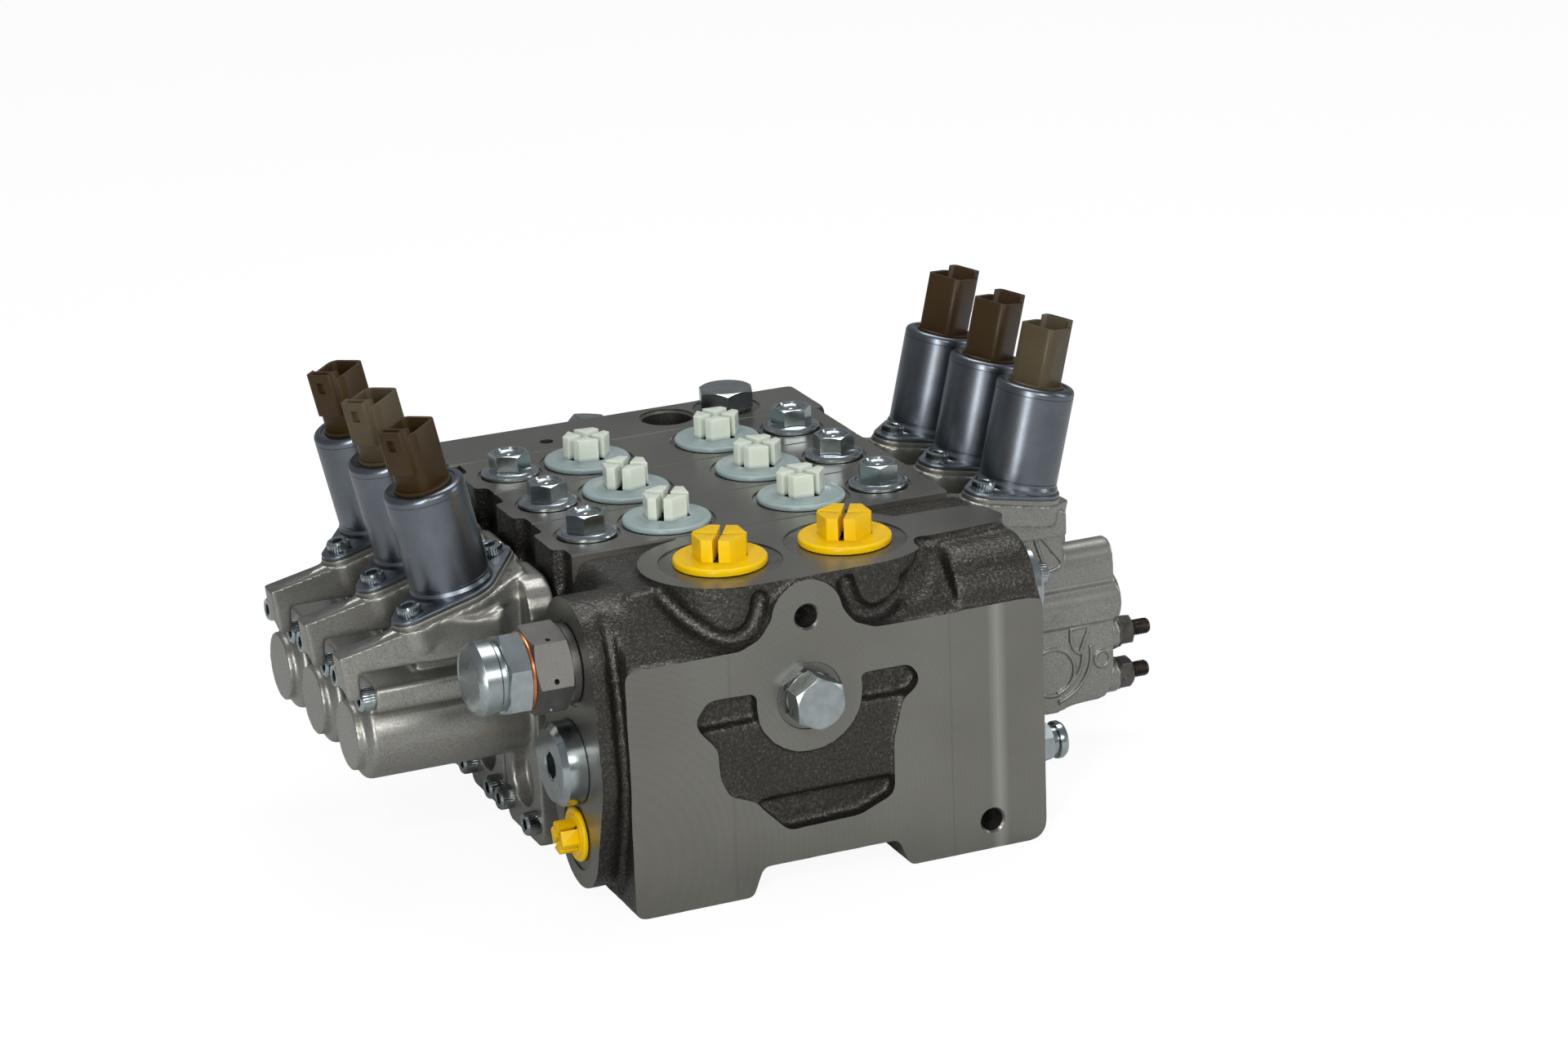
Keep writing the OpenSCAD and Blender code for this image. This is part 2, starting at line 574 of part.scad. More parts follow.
module receptacle(side, k) on_axis(side, k) rotate([0, 0, side < 0 ? 180 + latch_angle : latch_angle])
    translate([0, 0, can_top - 2]) {
        cylinder(r = hole_top_r - hole_gap, h = 2.4);
        difference() {
            union() {
                translate([-shroud_l / 2, 0, 0]) linear_extrude(shroud_h + 2)
                    shape([[0, -shroud_w / 2, 1.4], [shroud_l, -shroud_w / 2, 3], [shroud_l, shroud_w / 2, 3],
                        [0, shroud_w / 2, 1.4]]);
                translate([-shroud_l / 2, 0, latch_low + 2]) linear_extrude(shroud_h + latch_over - latch_low)
                    shape([[shroud_l - 3, -latch_w / 2, 0], [latch_out, -latch_w / 2, 1],
                        [latch_out, latch_w / 2, 1], [shroud_l - 3, latch_w / 2, 0]]);
            }
            translate([-shroud_l / 2, 0, 7]) linear_extrude(shroud_h + 8)
                shape([[shroud_wall, -shroud_w / 2 + shroud_wall, 1],
                    [shroud_l - shroud_wall, -shroud_w / 2 + shroud_wall, 2],
                    [shroud_l - shroud_wall, shroud_w / 2 - shroud_wall, 2],
                    [shroud_wall, shroud_w / 2 - shroud_wall, 1]]);
        }
    }
module connectors_a() color(brown) placed() for (k = [1:sections]) receptacle(-1, k);
module connectors_b() color(brown) placed() for (k = [1:sections]) receptacle(1, k);
module connector_pins() color(zinc) placed() for (side = [-1, 1]) for (k = [1:sections])
    on_axis(side, k) rotate([0, 0, side < 0 ? 180 + latch_angle : latch_angle]) for (s = [-1, 1])
        translate([0, s * 2.3, can_top + 5]) cylinder(r = 0.8, h = 9);

// Transport plugs of the ports: thin flange, slotted hexagonal head and a hollow shank
module slotted_plug(flange_d, flange_h, flats, head, shank_d, shank, slot) {
    cylinder(r = flange_d / 2, h = flange_h);
    difference() {
        hexagon(flats, head);
        for (a = [0, 90]) rotate([0, 0, a]) translate([-flats, -slot / 2, flange_h])
            cube([2 * flats, slot, head]);
    }
    difference() {
        translate([0, 0, -shank]) cylinder(r = shank_d / 2, h = shank);
        translate([0, 0, -shank - 1]) cylinder(r = shank_d / 2 - 2, h = shank);
    }
}
plug_yellow_d = 32;
plug_white_d = 31;
plug_fit = 0.1;
module plug_p() color("gold") placed() translate([-port_p_x, main_port_y, top_z - spot_depth])
    slotted_plug(plug_yellow_d, 2.2, 17, 11, main_port_d - plug_fit, 10, 1.4);
module plug_t() color("gold") placed() translate([port_t_x, main_port_y, top_z - spot_depth])
    slotted_plug(plug_yellow_d, 2.2, 17, 11, main_port_d - plug_fit, 10, 1.4);
module work_plugs_a() color("ivory") placed() for (k = [1:sections])
    translate([-port_a_x, section_mid(k), top_z - spot_depth])
        slotted_plug(plug_white_d, 1.6, 15, 11, work_port_d - plug_fit, 10, 1.8);
module work_plugs_b() color("ivory") placed() for (k = [1:sections])
    translate([port_b_x, section_mid(k), top_z - spot_depth])
        slotted_plug(plug_white_d, 1.6, 15, 11, work_port_d - plug_fit, 10, 1.8);
module plug_ls() color("gold") placed() translate([-boss_x + spot_depth, boss_y, ls_z]) rotate([0, -90, 0])
    slotted_plug(18.8, 1.8, 10, 8, 11.7, 8, 1.2);

// Relief valve in the left boss: body with its hexagon, washer and screwed cap
relief_hex = 26;
module relief_body() color(steel) placed() translate([-boss_x, boss_y, relief_z]) rotate([0, -90, 0]) {
    cylinder(r = 13.55, h = 3);
    translate([0, 0, 3]) rotate([0, 0, 21]) hexagon(relief_hex, 12.8);
    translate([0, 0, -20]) cylinder(r = 11.1, h = 20);
    cylinder(r = 7, h = 22);
}
module relief_washer() color("peru") placed() translate([-boss_x, boss_y, relief_z]) rotate([0, -90, 0])
    translate([0, 0, 15.8]) difference() {
        cylinder(r = 13.3, h = 1.3);
        translate([0, 0, -1]) cylinder(r = 7.1, h = 4);
    }
module relief_cap() color(zinc) placed() translate([-boss_x, boss_y, relief_z]) rotate([0, -90, 0])
    difference() {
        union() {
            translate([0, 0, 17.1]) rotate([0, 0, 51]) hexagon(relief_hex, 8.4);
            rotate_extrude() polygon([[0, 24], [11.8, 24], [11.8, 27], [12.6, 27.2], [12.6, 33.8],
                [11.4, 35.3], [0, 35.3]]);
        }
        translate([0, 0, 17]) cylinder(r = 7.1, h = 6);
    }

// Pressure compensator of the inlet: plug, sliding spool and its spring
comp_start = -boss_x + comp_thread + 1;
comp_len = 44;
comp_end = 40;
module compensator_plug() color(zinc) placed() translate([-boss_x, boss_y, comp_z]) rotate([0, -90, 0])
    difference() {
        union() {
            cylinder(r = 14.4, h = 7.7);
            translate([0, 0, 7.7]) cylinder(r1 = 14.4, r2 = 13.4, h = 1);
            translate([0, 0, -comp_thread]) cylinder(r = comp_thread_r - 0.1, h = comp_thread);
        }
        translate([0, 0, 2]) hexagon(8.5, 10);
    }
module compensator_spool() color(steel) placed() difference() {
    xbar(comp_d / 2, comp_start, comp_start + comp_len, boss_y, comp_z);
    for (x = [10, 26]) translate([comp_start + x, boss_y, comp_z]) rotate([0, 90, 0]) difference() {
        cylinder(r = comp_d, h = 7);
        translate([0, 0, -1]) cylinder(r = comp_d / 2 - 3, h = 9);
    }
    xbar(5, comp_start + comp_len - 10, comp_start + comp_len + 1, boss_y, comp_z);
}
module compensator_spring() color(steel) placed()
    translate([comp_start + comp_len + 0.3, boss_y, comp_z]) rotate([0, 90, 0])
        coil(7, 1.8, comp_end - comp_start - comp_len - 0.6, 9);

// Screwed port plugs with external hexagons: front, end element top and rear
module hex_plug(flats, h, washer_r, shank) {
    cylinder(r = washer_r, h = 1.2);
    translate([0, 0, 1.2]) hexagon(flats, h - 2.2);
    translate([0, 0, h - 1]) cylinder(r1 = flats / 2, r2 = flats / 2 - 1, h = 1);
    translate([0, 0, -shank]) cylinder(r = 5.8, h = shank);
}
module hex_port_plugs() color(zinc) placed() {
    translate([0, spot_depth, hex_plug_z]) rotate([90, 0, 0]) rotate([0, 0, 34])
        hex_plug(19, front_head + spot_depth, 9.4, 10);
    translate([end_hex.x, end_hex.y, top_z - spot_depth]) rotate([0, 0, 12]) hex_plug(19, 8, 9.4, 10);
    translate([rear_plug.x, stack_end - spot_depth, rear_plug.y]) rotate([-90, 0, 0]) rotate([0, 0, 10])
        hex_plug(19, rear_head + spot_depth, 9.4, 10);
}
module side_round_plug() color(zinc) placed() translate([front_b - spot_depth, boss_y, relief_z - 0.3])
    rotate([0, 90, 0]) difference() {
        union() {
            cylinder(r = 14.4, h = 10);
            translate([0, 0, -12]) cylinder(r = 10.9, h = 12);
        }
        translate([0, 0, 4]) hexagon(8.5, 8);
    }
module side_fitting() color(zinc) placed() translate([front_b - spot_depth, boss_y, ls_z])
    rotate([0, 90, 0]) {
        hexagon(14, 12);
        translate([0, 0, 12]) cylinder(r = 6.2, h = 4.5);
        translate([0, 0, 16.5]) cylinder(r1 = 7.2, r2 = 7.2, h = 4);
        translate([0, 0, 20.5]) cylinder(r1 = 7.2, r2 = 5, h = 1.5);
        translate([0, 0, -11]) cylinder(r = 5.8, h = 11);
    }
// Flanged plugs with a dished hexagonal head
module flange_plug() difference() {
    union() {
        cylinder(r = 10.5, h = 2.4);
        translate([0, 0, 2.4]) hexagon(13, 6.4);
        translate([0, 0, -11]) cylinder(r = flange_plug_r - 0.1, h = 11);
    }
    translate([0, 0, 6.2]) cylinder(r1 = 2, r2 = 5, h = 3);
}
module flange_plugs() color(zinc) placed() for (k = [1:sections])
    for (x = [-flange_plug_a_x, flange_plug_b_x])
        translate([x, section_mid(k), top_z - spot_depth]) flange_plug();

// Screws
module solenoid_screws() color(zinc) placed() for (side = [-1, 1]) for (k = [1:sections])
    on_axis(side, k) both_screws(side) translate([0, 0, oval_top]) socket_screw(oval_t + screw_bite - 1, 3.6);
module cap_screws_a() color(zinc) placed() for (k = [1:sections]) for (s = [-1, 1]) {
    translate([-seat_a - flange_t, section_mid(k) + s * cap_screw_y, cap_screw_low]) rotate([0, -90, 0])
        socket_screw(flange_t + screw_bite);
    translate([-long_seat_a, section_mid(k) + s * cap_screw_y, cap_screw_high_a]) rotate([0, -90, 0])
        socket_screw(long_seat_a - seat_a + screw_bite);
}
module cap_screws_b() color(zinc) placed() for (k = [1:sections]) for (s = [-1, 1]) {
    translate([seat_b + flange_b_t, section_mid(k) + s * cap_screw_y, cap_screw_low]) rotate([0, 90, 0])
        socket_screw(flange_b_t + screw_bite);
    translate([long_seat_b, section_mid(k) + s * cap_screw_y, cap_screw_high_b]) rotate([0, 90, 0])
        socket_screw(long_seat_b - seat_b + screw_bite);
}

// Spool: lands and grooves, spring rod with its outer seat on side A, slotted rod on side B
shoulder_a = seat_a - stroke - 1;
shoulder_b = seat_b - stroke - 1;
rod_a_r = 3.5;
rod_a_end = seat_a + 48;
rod_head = 4;
grooves = [[-32, -24], [-12, -5], [5, 12], [18, 27], [38, 46]];
slot_half = 3.5;
tip_z = spool_z - 3.5;

module spool(k) translate([0, section_mid(k), spool_z]) rotate([0, 90, 0]) difference() {
    union() {
        translate([0, 0, -shoulder_a]) cylinder(r = spool_d / 2, h = shoulder_a + shoulder_b);
        translate([0, 0, -rod_a_end]) cylinder(r = rod_a_r, h = rod_a_end);
        translate([0, 0, -rod_a_end - rod_head]) cylinder(r = rod_r, h = rod_head);
        cylinder(r = rod_r, h = rod_end);
    }
    for (g = grooves) translate([0, 0, g[0]]) difference() {
        cylinder(r = spool_d, h = g[1] - g[0]);
        translate([0, 0, -1]) cylinder(r = spool_d / 2 - 3, h = g[1] - g[0] + 2);
    }
    translate([-1, -spool_d, pivot_x - slot_half]) cube([spool_d, 2 * spool_d, 2 * slot_half]);
}
seat_t = 1.7;
module spring_seat(gap) difference() {
    cylinder(r = chamber_r - 0.1, h = seat_t);
    translate([0, 0, -1]) cylinder(r = rod_a_r + gap, h = seat_t + 2);
}
module spool_with_seat(k) {
    spool(k);
    translate([-rod_a_end + 0.1, section_mid(k), spool_z]) rotate([0, 90, 0]) spring_seat(0.05);
}
module spool_1() color(steel) placed() spool_with_seat(1);
module spool_2() color(steel) placed() spool_with_seat(2);
module spool_3() color(steel) placed() spool_with_seat(3);

// Centring springs between the fixed inner seat and the outer seat on the spring rod
spring_far = rod_a_end - seat_t - 0.3;
spring_r = 9;
module centring_spring(k) translate([-spring_far + 0.2, section_mid(k), spool_z]) rotate([0, 90, 0])
    coil(spring_r, spring_wire, spring_far - seat_a - seat_t - 0.6, 9);
module centring_spring_1() color(steel) placed() centring_spring(1);
module centring_spring_2() color(steel) placed() centring_spring(2);
module centring_spring_3() color(steel) placed() centring_spring(3);
module spring_seats() color(steel) placed() for (k = [1:sections])
    translate([-seat_a - seat_t - 0.1, section_mid(k), spool_z]) rotate([0, 90, 0]) spring_seat(0.3);

// Stroke lever: hub on its shaft, arm into the spool's slot and arm down to the lower limit screw
module stroke_lever(k) translate([pivot_x, section_mid(k), pivot_z]) rotate([90, 0, 0])
    translate([0, 0, -lever_half]) linear_extrude(2 * lever_half) difference() {
        union() {
            circle(6);
            translate([-2, 0]) square([4, tip_z - pivot_z]);
            translate([0, tip_z - pivot_z]) circle(3);
            translate([-2, -10.6]) square([4, 10.6]);
            translate([0, -10.6]) circle(2);
        }
        circle(shaft_r + 0.05);
    }
module stroke_lever_1() color(steel) placed() stroke_lever(1);
module stroke_lever_2() color(steel) placed() stroke_lever(2);
module stroke_lever_3() color(steel) placed() stroke_lever(3);
module lever_shafts() color(zinc) placed() for (k = [1:sections])
    ybar(shaft_r - 0.02, section_mid(k) - housing_half + 2, section_mid(k) + housing_half, pivot_x, pivot_z);

// Stroke limit screws and their lock nuts
limit_nut = 10;
limit_nut_t = 5;
upper_tip = pivot_x + 6.9;
lower_tip = pivot_x + 6.9;
module limit_screw(k, z, tip, out) difference() {
    xbar(limit_r, tip, out, section_mid(k), z);
    translate([out + 1, section_mid(k), z]) rotate([0, -90, 0]) hexagon(3, 4);
}
black = "dimgray";
module limit_screw_1_upper() color(black) placed() limit_screw(1, limit_upper_z, upper_tip, limit_tip);
module limit_screw_1_lower() color(black) placed() limit_screw(1, limit_lower_z, lower_tip, limit_tip - 0.6);
module limit_screw_2_upper() color(black) placed() limit_screw(2, limit_upper_z, upper_tip, limit_tip);
module limit_screw_2_lower() color(black) placed() limit_screw(2, limit_lower_z, lower_tip, limit_tip - 0.6);
module limit_screw_3_upper() color(black) placed() limit_screw(3, limit_upper_z, upper_tip, limit_tip);
module limit_screw_3_lower() color(black) placed() limit_screw(3, limit_lower_z, lower_tip, limit_tip - 0.6);
module limit_nut_pair() difference() {
    union() {
        cylinder(r = 6, h = 1.2);
        translate([0, 0, 1.2]) hexagon(limit_nut, limit_nut_t);
    }
    translate([0, 0, -1]) cylinder(r = limit_r + 0.05, h = 12);
}
module limit_nuts() color(black) placed() for (k = [1:sections])
    for (z = [limit_upper_z, limit_lower_z])
        translate([nut_seat, section_mid(k), z]) rotate([0, 90, 0]) limit_nut_pair();

// Tie rods, their nuts on the rear face, and the ring seals between the elements
module tie_rods() color(zinc) placed() for (t = tie_places)
    ybar(tie_d / 2, inlet_depth - 20, stack_end + 9, t.x, t.y);
module tie_rod_nuts() color(zinc) placed() for (t = tie_places)
    translate([t.x, stack_end, t.y]) rotate([-90, 0, 0]) difference() {
        hexagon(1.625 * tie_d, 0.85 * tie_d);
        translate([0, 0, -1]) cylinder(r = tie_d / 2 + 0.05, h = tie_d + 2);
    }
module section_seals() color("black") placed() for (k = [1:sections + 1]) for (g = galleries)
    translate([g.x, section_front(k) + 0.05, g.y]) rotate([-90, 0, 0]) rotate_extrude()
        translate([gallery_r + 1.15, 0]) square([2.7, seal_t - 0.1]);

inlet_element();
section_1();
section_2();
section_3();
end_element();
cap_a_1();
cap_a_2();
cap_a_3();
cap_b_1();
cap_b_2();
cap_b_3();
solenoid_a_1();
solenoid_a_2();
solenoid_a_3();
solenoid_b_1();
solenoid_b_2();
solenoid_b_3();
connectors_a();
connectors_b();
connector_pins();
plug_p();
plug_t();
work_plugs_a();
work_plugs_b();
plug_ls();
relief_body();
relief_cap();
relief_washer();
compensator_plug();
compensator_spool();
compensator_spring();
hex_port_plugs();
side_round_plug();
side_fitting();
flange_plugs();
solenoid_screws();
cap_screws_a();
cap_screws_b();
spool_1();
spool_2();
spool_3();
centring_spring_1();
centring_spring_2();
centring_spring_3();
spring_seats();
stroke_lever_1();
stroke_lever_2();
stroke_lever_3();
lever_shafts();
limit_screw_1_upper();
limit_screw_1_lower();
limit_screw_2_upper();
limit_screw_2_lower();
limit_screw_3_upper();
limit_screw_3_lower();
limit_nuts();
tie_rods();
tie_rod_nuts();
section_seals();
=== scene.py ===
# Sectional load sensing directional valve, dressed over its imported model.
# Lengths are written in millimetres, measured from the centre plane (X), the front face (Y) and the
# feet (Z), and brought into the model's own frame in metres by spot().
import json
from math import acos, atan2, cos, hypot, pi, radians, sin, sqrt, tan

import bmesh
import bpy
from mathutils import Matrix, Vector
from mathutils.bvhtree import BVHTree

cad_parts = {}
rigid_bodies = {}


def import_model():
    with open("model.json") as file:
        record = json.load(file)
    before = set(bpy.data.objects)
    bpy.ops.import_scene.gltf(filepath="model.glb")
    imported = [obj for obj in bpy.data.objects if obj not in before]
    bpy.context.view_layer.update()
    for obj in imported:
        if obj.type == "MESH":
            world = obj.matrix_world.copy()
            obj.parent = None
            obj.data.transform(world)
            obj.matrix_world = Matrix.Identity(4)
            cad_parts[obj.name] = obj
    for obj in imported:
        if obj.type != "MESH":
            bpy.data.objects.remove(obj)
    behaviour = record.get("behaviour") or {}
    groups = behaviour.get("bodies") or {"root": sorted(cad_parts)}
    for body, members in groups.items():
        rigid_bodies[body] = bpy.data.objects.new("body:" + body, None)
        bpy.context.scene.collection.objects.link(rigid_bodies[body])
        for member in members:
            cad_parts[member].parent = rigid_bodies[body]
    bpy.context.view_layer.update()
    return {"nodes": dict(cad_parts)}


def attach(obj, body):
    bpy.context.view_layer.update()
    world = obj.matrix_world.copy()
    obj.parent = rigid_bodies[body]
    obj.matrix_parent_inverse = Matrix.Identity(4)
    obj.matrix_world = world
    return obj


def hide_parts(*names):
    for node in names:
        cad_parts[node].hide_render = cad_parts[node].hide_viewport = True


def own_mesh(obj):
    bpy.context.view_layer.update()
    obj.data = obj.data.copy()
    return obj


for leftover in list(bpy.data.objects):
    bpy.data.objects.remove(leftover)
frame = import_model()
NODES = frame["nodes"]

MM = 0.001
SHIFT = (-12.25, -101.0)  # from the drawing's zero to the middle of the footprint
INLET = 59.4  # depth of the inlet element
PITCH = 38.0  # depth of one section
MIDS = [INLET + k * PITCH + PITCH / 2 for k in range(3)]
STACK_BACK = INLET + 3 * PITCH
STACK_END = STACK_BACK + 29.0
TOP = 110.0
LETTER = {-1: "a", 1: "b"}
# the inlet's two side faces, and the line on which their plugs sit
SIDE_A, SIDE_B, SIDE_LINE = -74.5, 86.6, 28.0
RELIEF_Z, COMPENSATOR_Z, LS_Z = 84.3, 49.3, 23.0
MAIN_PORTS = {"p": -18.2, "t": 27.5}
MAIN_LINE = 29.5
WORK_PORTS = {"a": -17.7, "b": 32.8}
FLANGE_PORTS = (-47.1, 62.4)
FRONT_PORT_Z = 68.25
FRONT_HOLES = ((0, 96.2), (66.5, 10.25))
OPEN_PORT = (27.25, STACK_BACK + 15.7)
END_PLUG = (51.5, STACK_BACK + 16.7)
END_HOLES = (-22.4, 72.1)
SEATED = 0.4  # how deep a plug's flange sits in its spotface
# height and outer end of each limit screw
LIMIT_SCREWS = {"upper": (38.5, 168.0), "lower": (22.2, 167.4)}
LIMIT_START = 132.1
LIMIT_NUT = 154
# each pilot solenoid: where its axis crosses SOLENOID_Z, and its tilt in degrees
SOLENOID = {-1: (-100.9, 12.2), 1: (120.8, 13.2)}
SOLENOID_Z = 120.0
# along that axis: the cap's pad, the rim that stands up on it, the flange plate and the can
PAD_S = -23.0
RIM = 1.7
OVAL_TOP = PAD_S + 3.2
CAN_TOP = OVAL_TOP + 37.8
FRONT_SCREW = (-19.4, -11.4)
REAR_SCREW = {-1: (19.4, 11.4), 1: (12.6, 14.6)}
CONNECTOR_TURN = {-1: 215, 1: 35}
PIN_HALF = 2.3
# seat and height of each cap's screws, which stand in pairs
CAP_SCREWS = {-1: ((-75.5, 14), (-131.5, 70)), 1: ((88, 14), (115.4, 71))}
CAP_SCREW_HALF = 13.25


# ---- placing
def shift(x, y, z):
    return Matrix.Translation((x * MM, y * MM, z * MM))


def swing(degrees, axis="Z"):
    return Matrix.Rotation(radians(degrees), 4, axis)


def spot(x, y, z, rx=0.0, ry=0.0, turn=0.0):
    """Where a piece that was drawn upright on the origin goes."""
    return shift(x + SHIFT[0], y + SHIFT[1], z) @ (swing(ry, "Y") @ swing(rx, "X")) @ swing(turn)


def on_axis(side, k, x=0.0, y=0.0, s=0.0, turn=0.0):
    """A place in the frame of one pilot solenoid, s along its axis."""
    x0, tilt = SOLENOID[side]
    return spot(x0, MIDS[k], SOLENOID_Z, ry=side * tilt) @ shift(x, y, s) @ swing(turn)


# ---- mesh work
def link(name, data, finish=None):
    body = bpy.data.objects.new(name, data)
    bpy.context.scene.collection.objects.link(body)
    if finish is not None:
        data.materials.clear()
        data.materials.append(finish)
    return body


def opened(mesh):
    made = bmesh.new()
    made.from_mesh(mesh)
    return made


def closed_up(made, mesh):
    """Writes the worked mesh back and frees the working copy."""
    made.to_mesh(mesh)
    made.free()
    return mesh


def shade(body, angle):
    body.data.shade_smooth()
    body.data.set_sharp_from_angle(angle=radians(angle))
    return body


def settle(body):
    """Turns the evaluated shape into the body's own plain mesh."""
    graph = bpy.context.evaluated_depsgraph_get()
    graph.update()
    mesh = bpy.data.meshes.new_from_object(body.evaluated_get(graph))
    old = body.data
    body.modifiers.clear()
    body.data = mesh
    if old.users == 0:
        bpy.data.meshes.remove(old)
    return body


def move(body, matrix):
    body.data.transform(matrix)
    return body


def drop(body):
    mesh = body.data
    bpy.data.objects.remove(body)
    if mesh.users == 0:
        bpy.data.meshes.remove(mesh)


def shape(body, tool, how="DIFFERENCE"):
    """One boolean step; the tool is used up."""
    step = body.modifiers.new("step", "BOOLEAN")
    step.operation = how
    step.solver = "MANIFOLD"
    step.material_mode = "TRANSFER"
    step.object = tool
    settle(body)
    drop(tool)
    return body


def gather(name, bodies):
    """Several bodies become one piece, each face keeping its finish."""
    made = bmesh.new()
    finishes = []
    for body in bodies:
        slots = []
        for finish in body.data.materials:
            if finish not in finishes:
                finishes.append(finish)
            slots.append(finishes.index(finish))
        start = len(made.faces)
        made.from_mesh(body.data)
        made.faces.ensure_lookup_table()
        for face in made.faces[start:]:
            face.material_index = slots[face.material_index] if slots else 0
        drop(body)
    mesh = closed_up(made, bpy.data.meshes.new(name))
    for finish in finishes:
        mesh.materials.append(finish)
    return link(name, mesh)


def turned(name, profile, finish, seg, angle=30.0, loop=False):
    """A body of revolution; profile is [(radius, height), ...] from axis to axis, or a closed loop."""
    made = bmesh.new()
    rings = []
    for r, z in profile:
        if r < 1e-6:
            rings.append([made.verts.new((0, 0, z * MM))])
            continue
        rings.append([made.verts.new((r * MM * cos(2 * pi * i / seg),
                                      r * MM * sin(2 * pi * i / seg), z * MM)) for i in range(seg)])
    pairs = list(zip(rings, rings[1:]))
    if loop:
        pairs.append((rings[-1], rings[0]))
    for low, high in pairs:
        if len(low) == 1 and len(high) == 1:
            continue
        for i in range(seg):
            j = (i + 1) % seg
            if len(low) == 1:
                made.faces.new((low[0], high[j], high[i]))
            elif len(high) == 1:
                made.faces.new((low[i], low[j], high[0]))
            else:
                made.faces.new((low[i], low[j], high[j], high[i]))
    bmesh.ops.recalc_face_normals(made, faces=made.faces)
    return shade(link(name, closed_up(made, bpy.data.meshes.new(name)), finish), angle)


def rod(name, r, z0, z1, finish, seg):
    return turned(name, [(0, z0), (r, z0), (r, z1), (0, z1)], finish, seg)


def prism(name, outline, z0, z1, finish):
    """An outline of [(x, y), ...] pulled up from z0 to z1."""
    n = len(outline)
    verts = [(x * MM, y * MM, z * MM) for z in (z0, z1) for x, y in outline]
    faces = [tuple(reversed(range(n))), tuple(range(n, 2 * n))]
    faces += [(i, (i + 1) % n, n + (i + 1) % n, n + i) for i in range(n)]
    mesh = bpy.data.meshes.new(name)
    mesh.from_pydata(verts, [], faces)
    made = opened(mesh)
    bmesh.ops.recalc_face_normals(made, faces=made.faces)
    return shade(link(name, closed_up(made, mesh), finish), 30.0)


def block(name, low, high, finish):
    (x0, y0, z0), (x1, y1, z1) = low, high
    return prism(name, [(x0, y0), (x1, y0), (x1, y1), (x0, y1)], z0, z1, finish)


def ring_points(n, r, turn=0.0):
    return [(r * cos(radians(turn) + 2 * pi * i / n),
             r * sin(radians(turn) + 2 * pi * i / n)) for i in range(n)]


def rounded(points, r, n):
    """An outline with every corner rounded; r is one radius or one for each corner."""
    out = []
    count = len(points)
    for i, b in enumerate(points):
        a = Vector(points[i - 1])
        b = Vector(b)
        c = Vector(points[(i + 1) % count])
        ri = r[i] if isinstance(r, list) else r
        if ri <= 0:
            out.append(tuple(b))
            continue
        u = (a - b).normalized()
        v = (c - b).normalized()
        half = acos(max(-1.0, min(1.0, u.dot(v)))) / 2
        d = ri / tan(half)
        o = b + (u + v).normalized() * (ri / sin(half))
        p = b + u * d
        q = b + v * d
        a0 = atan2(p.y - o.y, p.x - o.x)
        a1 = atan2(q.y - o.y, q.x - o.x)
        sweep = (a1 - a0 + pi) % (2 * pi) - pi
        out += [(o.x + ri * cos(a0 + sweep * j / n), o.y + ri * sin(a0 + sweep * j / n))
                for j in range(n + 1)]
    return out


def bevelled(body, width, segments, angle):
    edge = body.modifiers.new("edge", "BEVEL")
    edge.width = width * MM
    edge.segments = segments
    edge.limit_method = "ANGLE"
    edge.angle_limit = radians(angle)
    edge.use_clamp_overlap = True
    return shade(settle(body), 40.0)


def hexed(name, flats, z0, z1, finish, low_chamfer, high_chamfer, turn=0.0):
    """A hexagon bar whose ends are turned to a cone, as a bolt's head is."""
    r = flats / sqrt(3)
    body = prism(name, ring_points(6, r, turn), z0, z1, finish)
    r_in = flats / 2 - 0.15
    profile = [(0, z0)]
    profile += [(r_in, z0), (r + 0.2, z0 + low_chamfer)] if low_chamfer else [(r + 0.2, z0)]
    profile += [(r + 0.2, z1 - high_chamfer), (r_in, z1), (0, z1)]
    shape(body, turned("cone", profile, finish, 96), "INTERSECT")
    return shade(body, 18.0)


def cad_twin(node, name, finish):
    """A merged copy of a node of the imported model."""
    mesh = NODES[node].data.copy()
    mesh.name = name
    made = opened(mesh)
    bmesh.ops.remove_doubles(made, verts=made.verts, dist=2e-7)
    return link(name, closed_up(made, mesh), finish)


def stand_for(body, node, carrier="valve"):
    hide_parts(node)
    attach(body, carrier)
    return body


def share_out(master, piece, node):
    """The same piece for each of the three sections; the master is used up."""
    for k in range(3):
        body = link(f"{piece}_{k + 1}", master.data.copy())
        move(body, shift(0, k * PITCH, 0))
        stand_for(body, f"{node}_{k + 1}")
    drop(master)


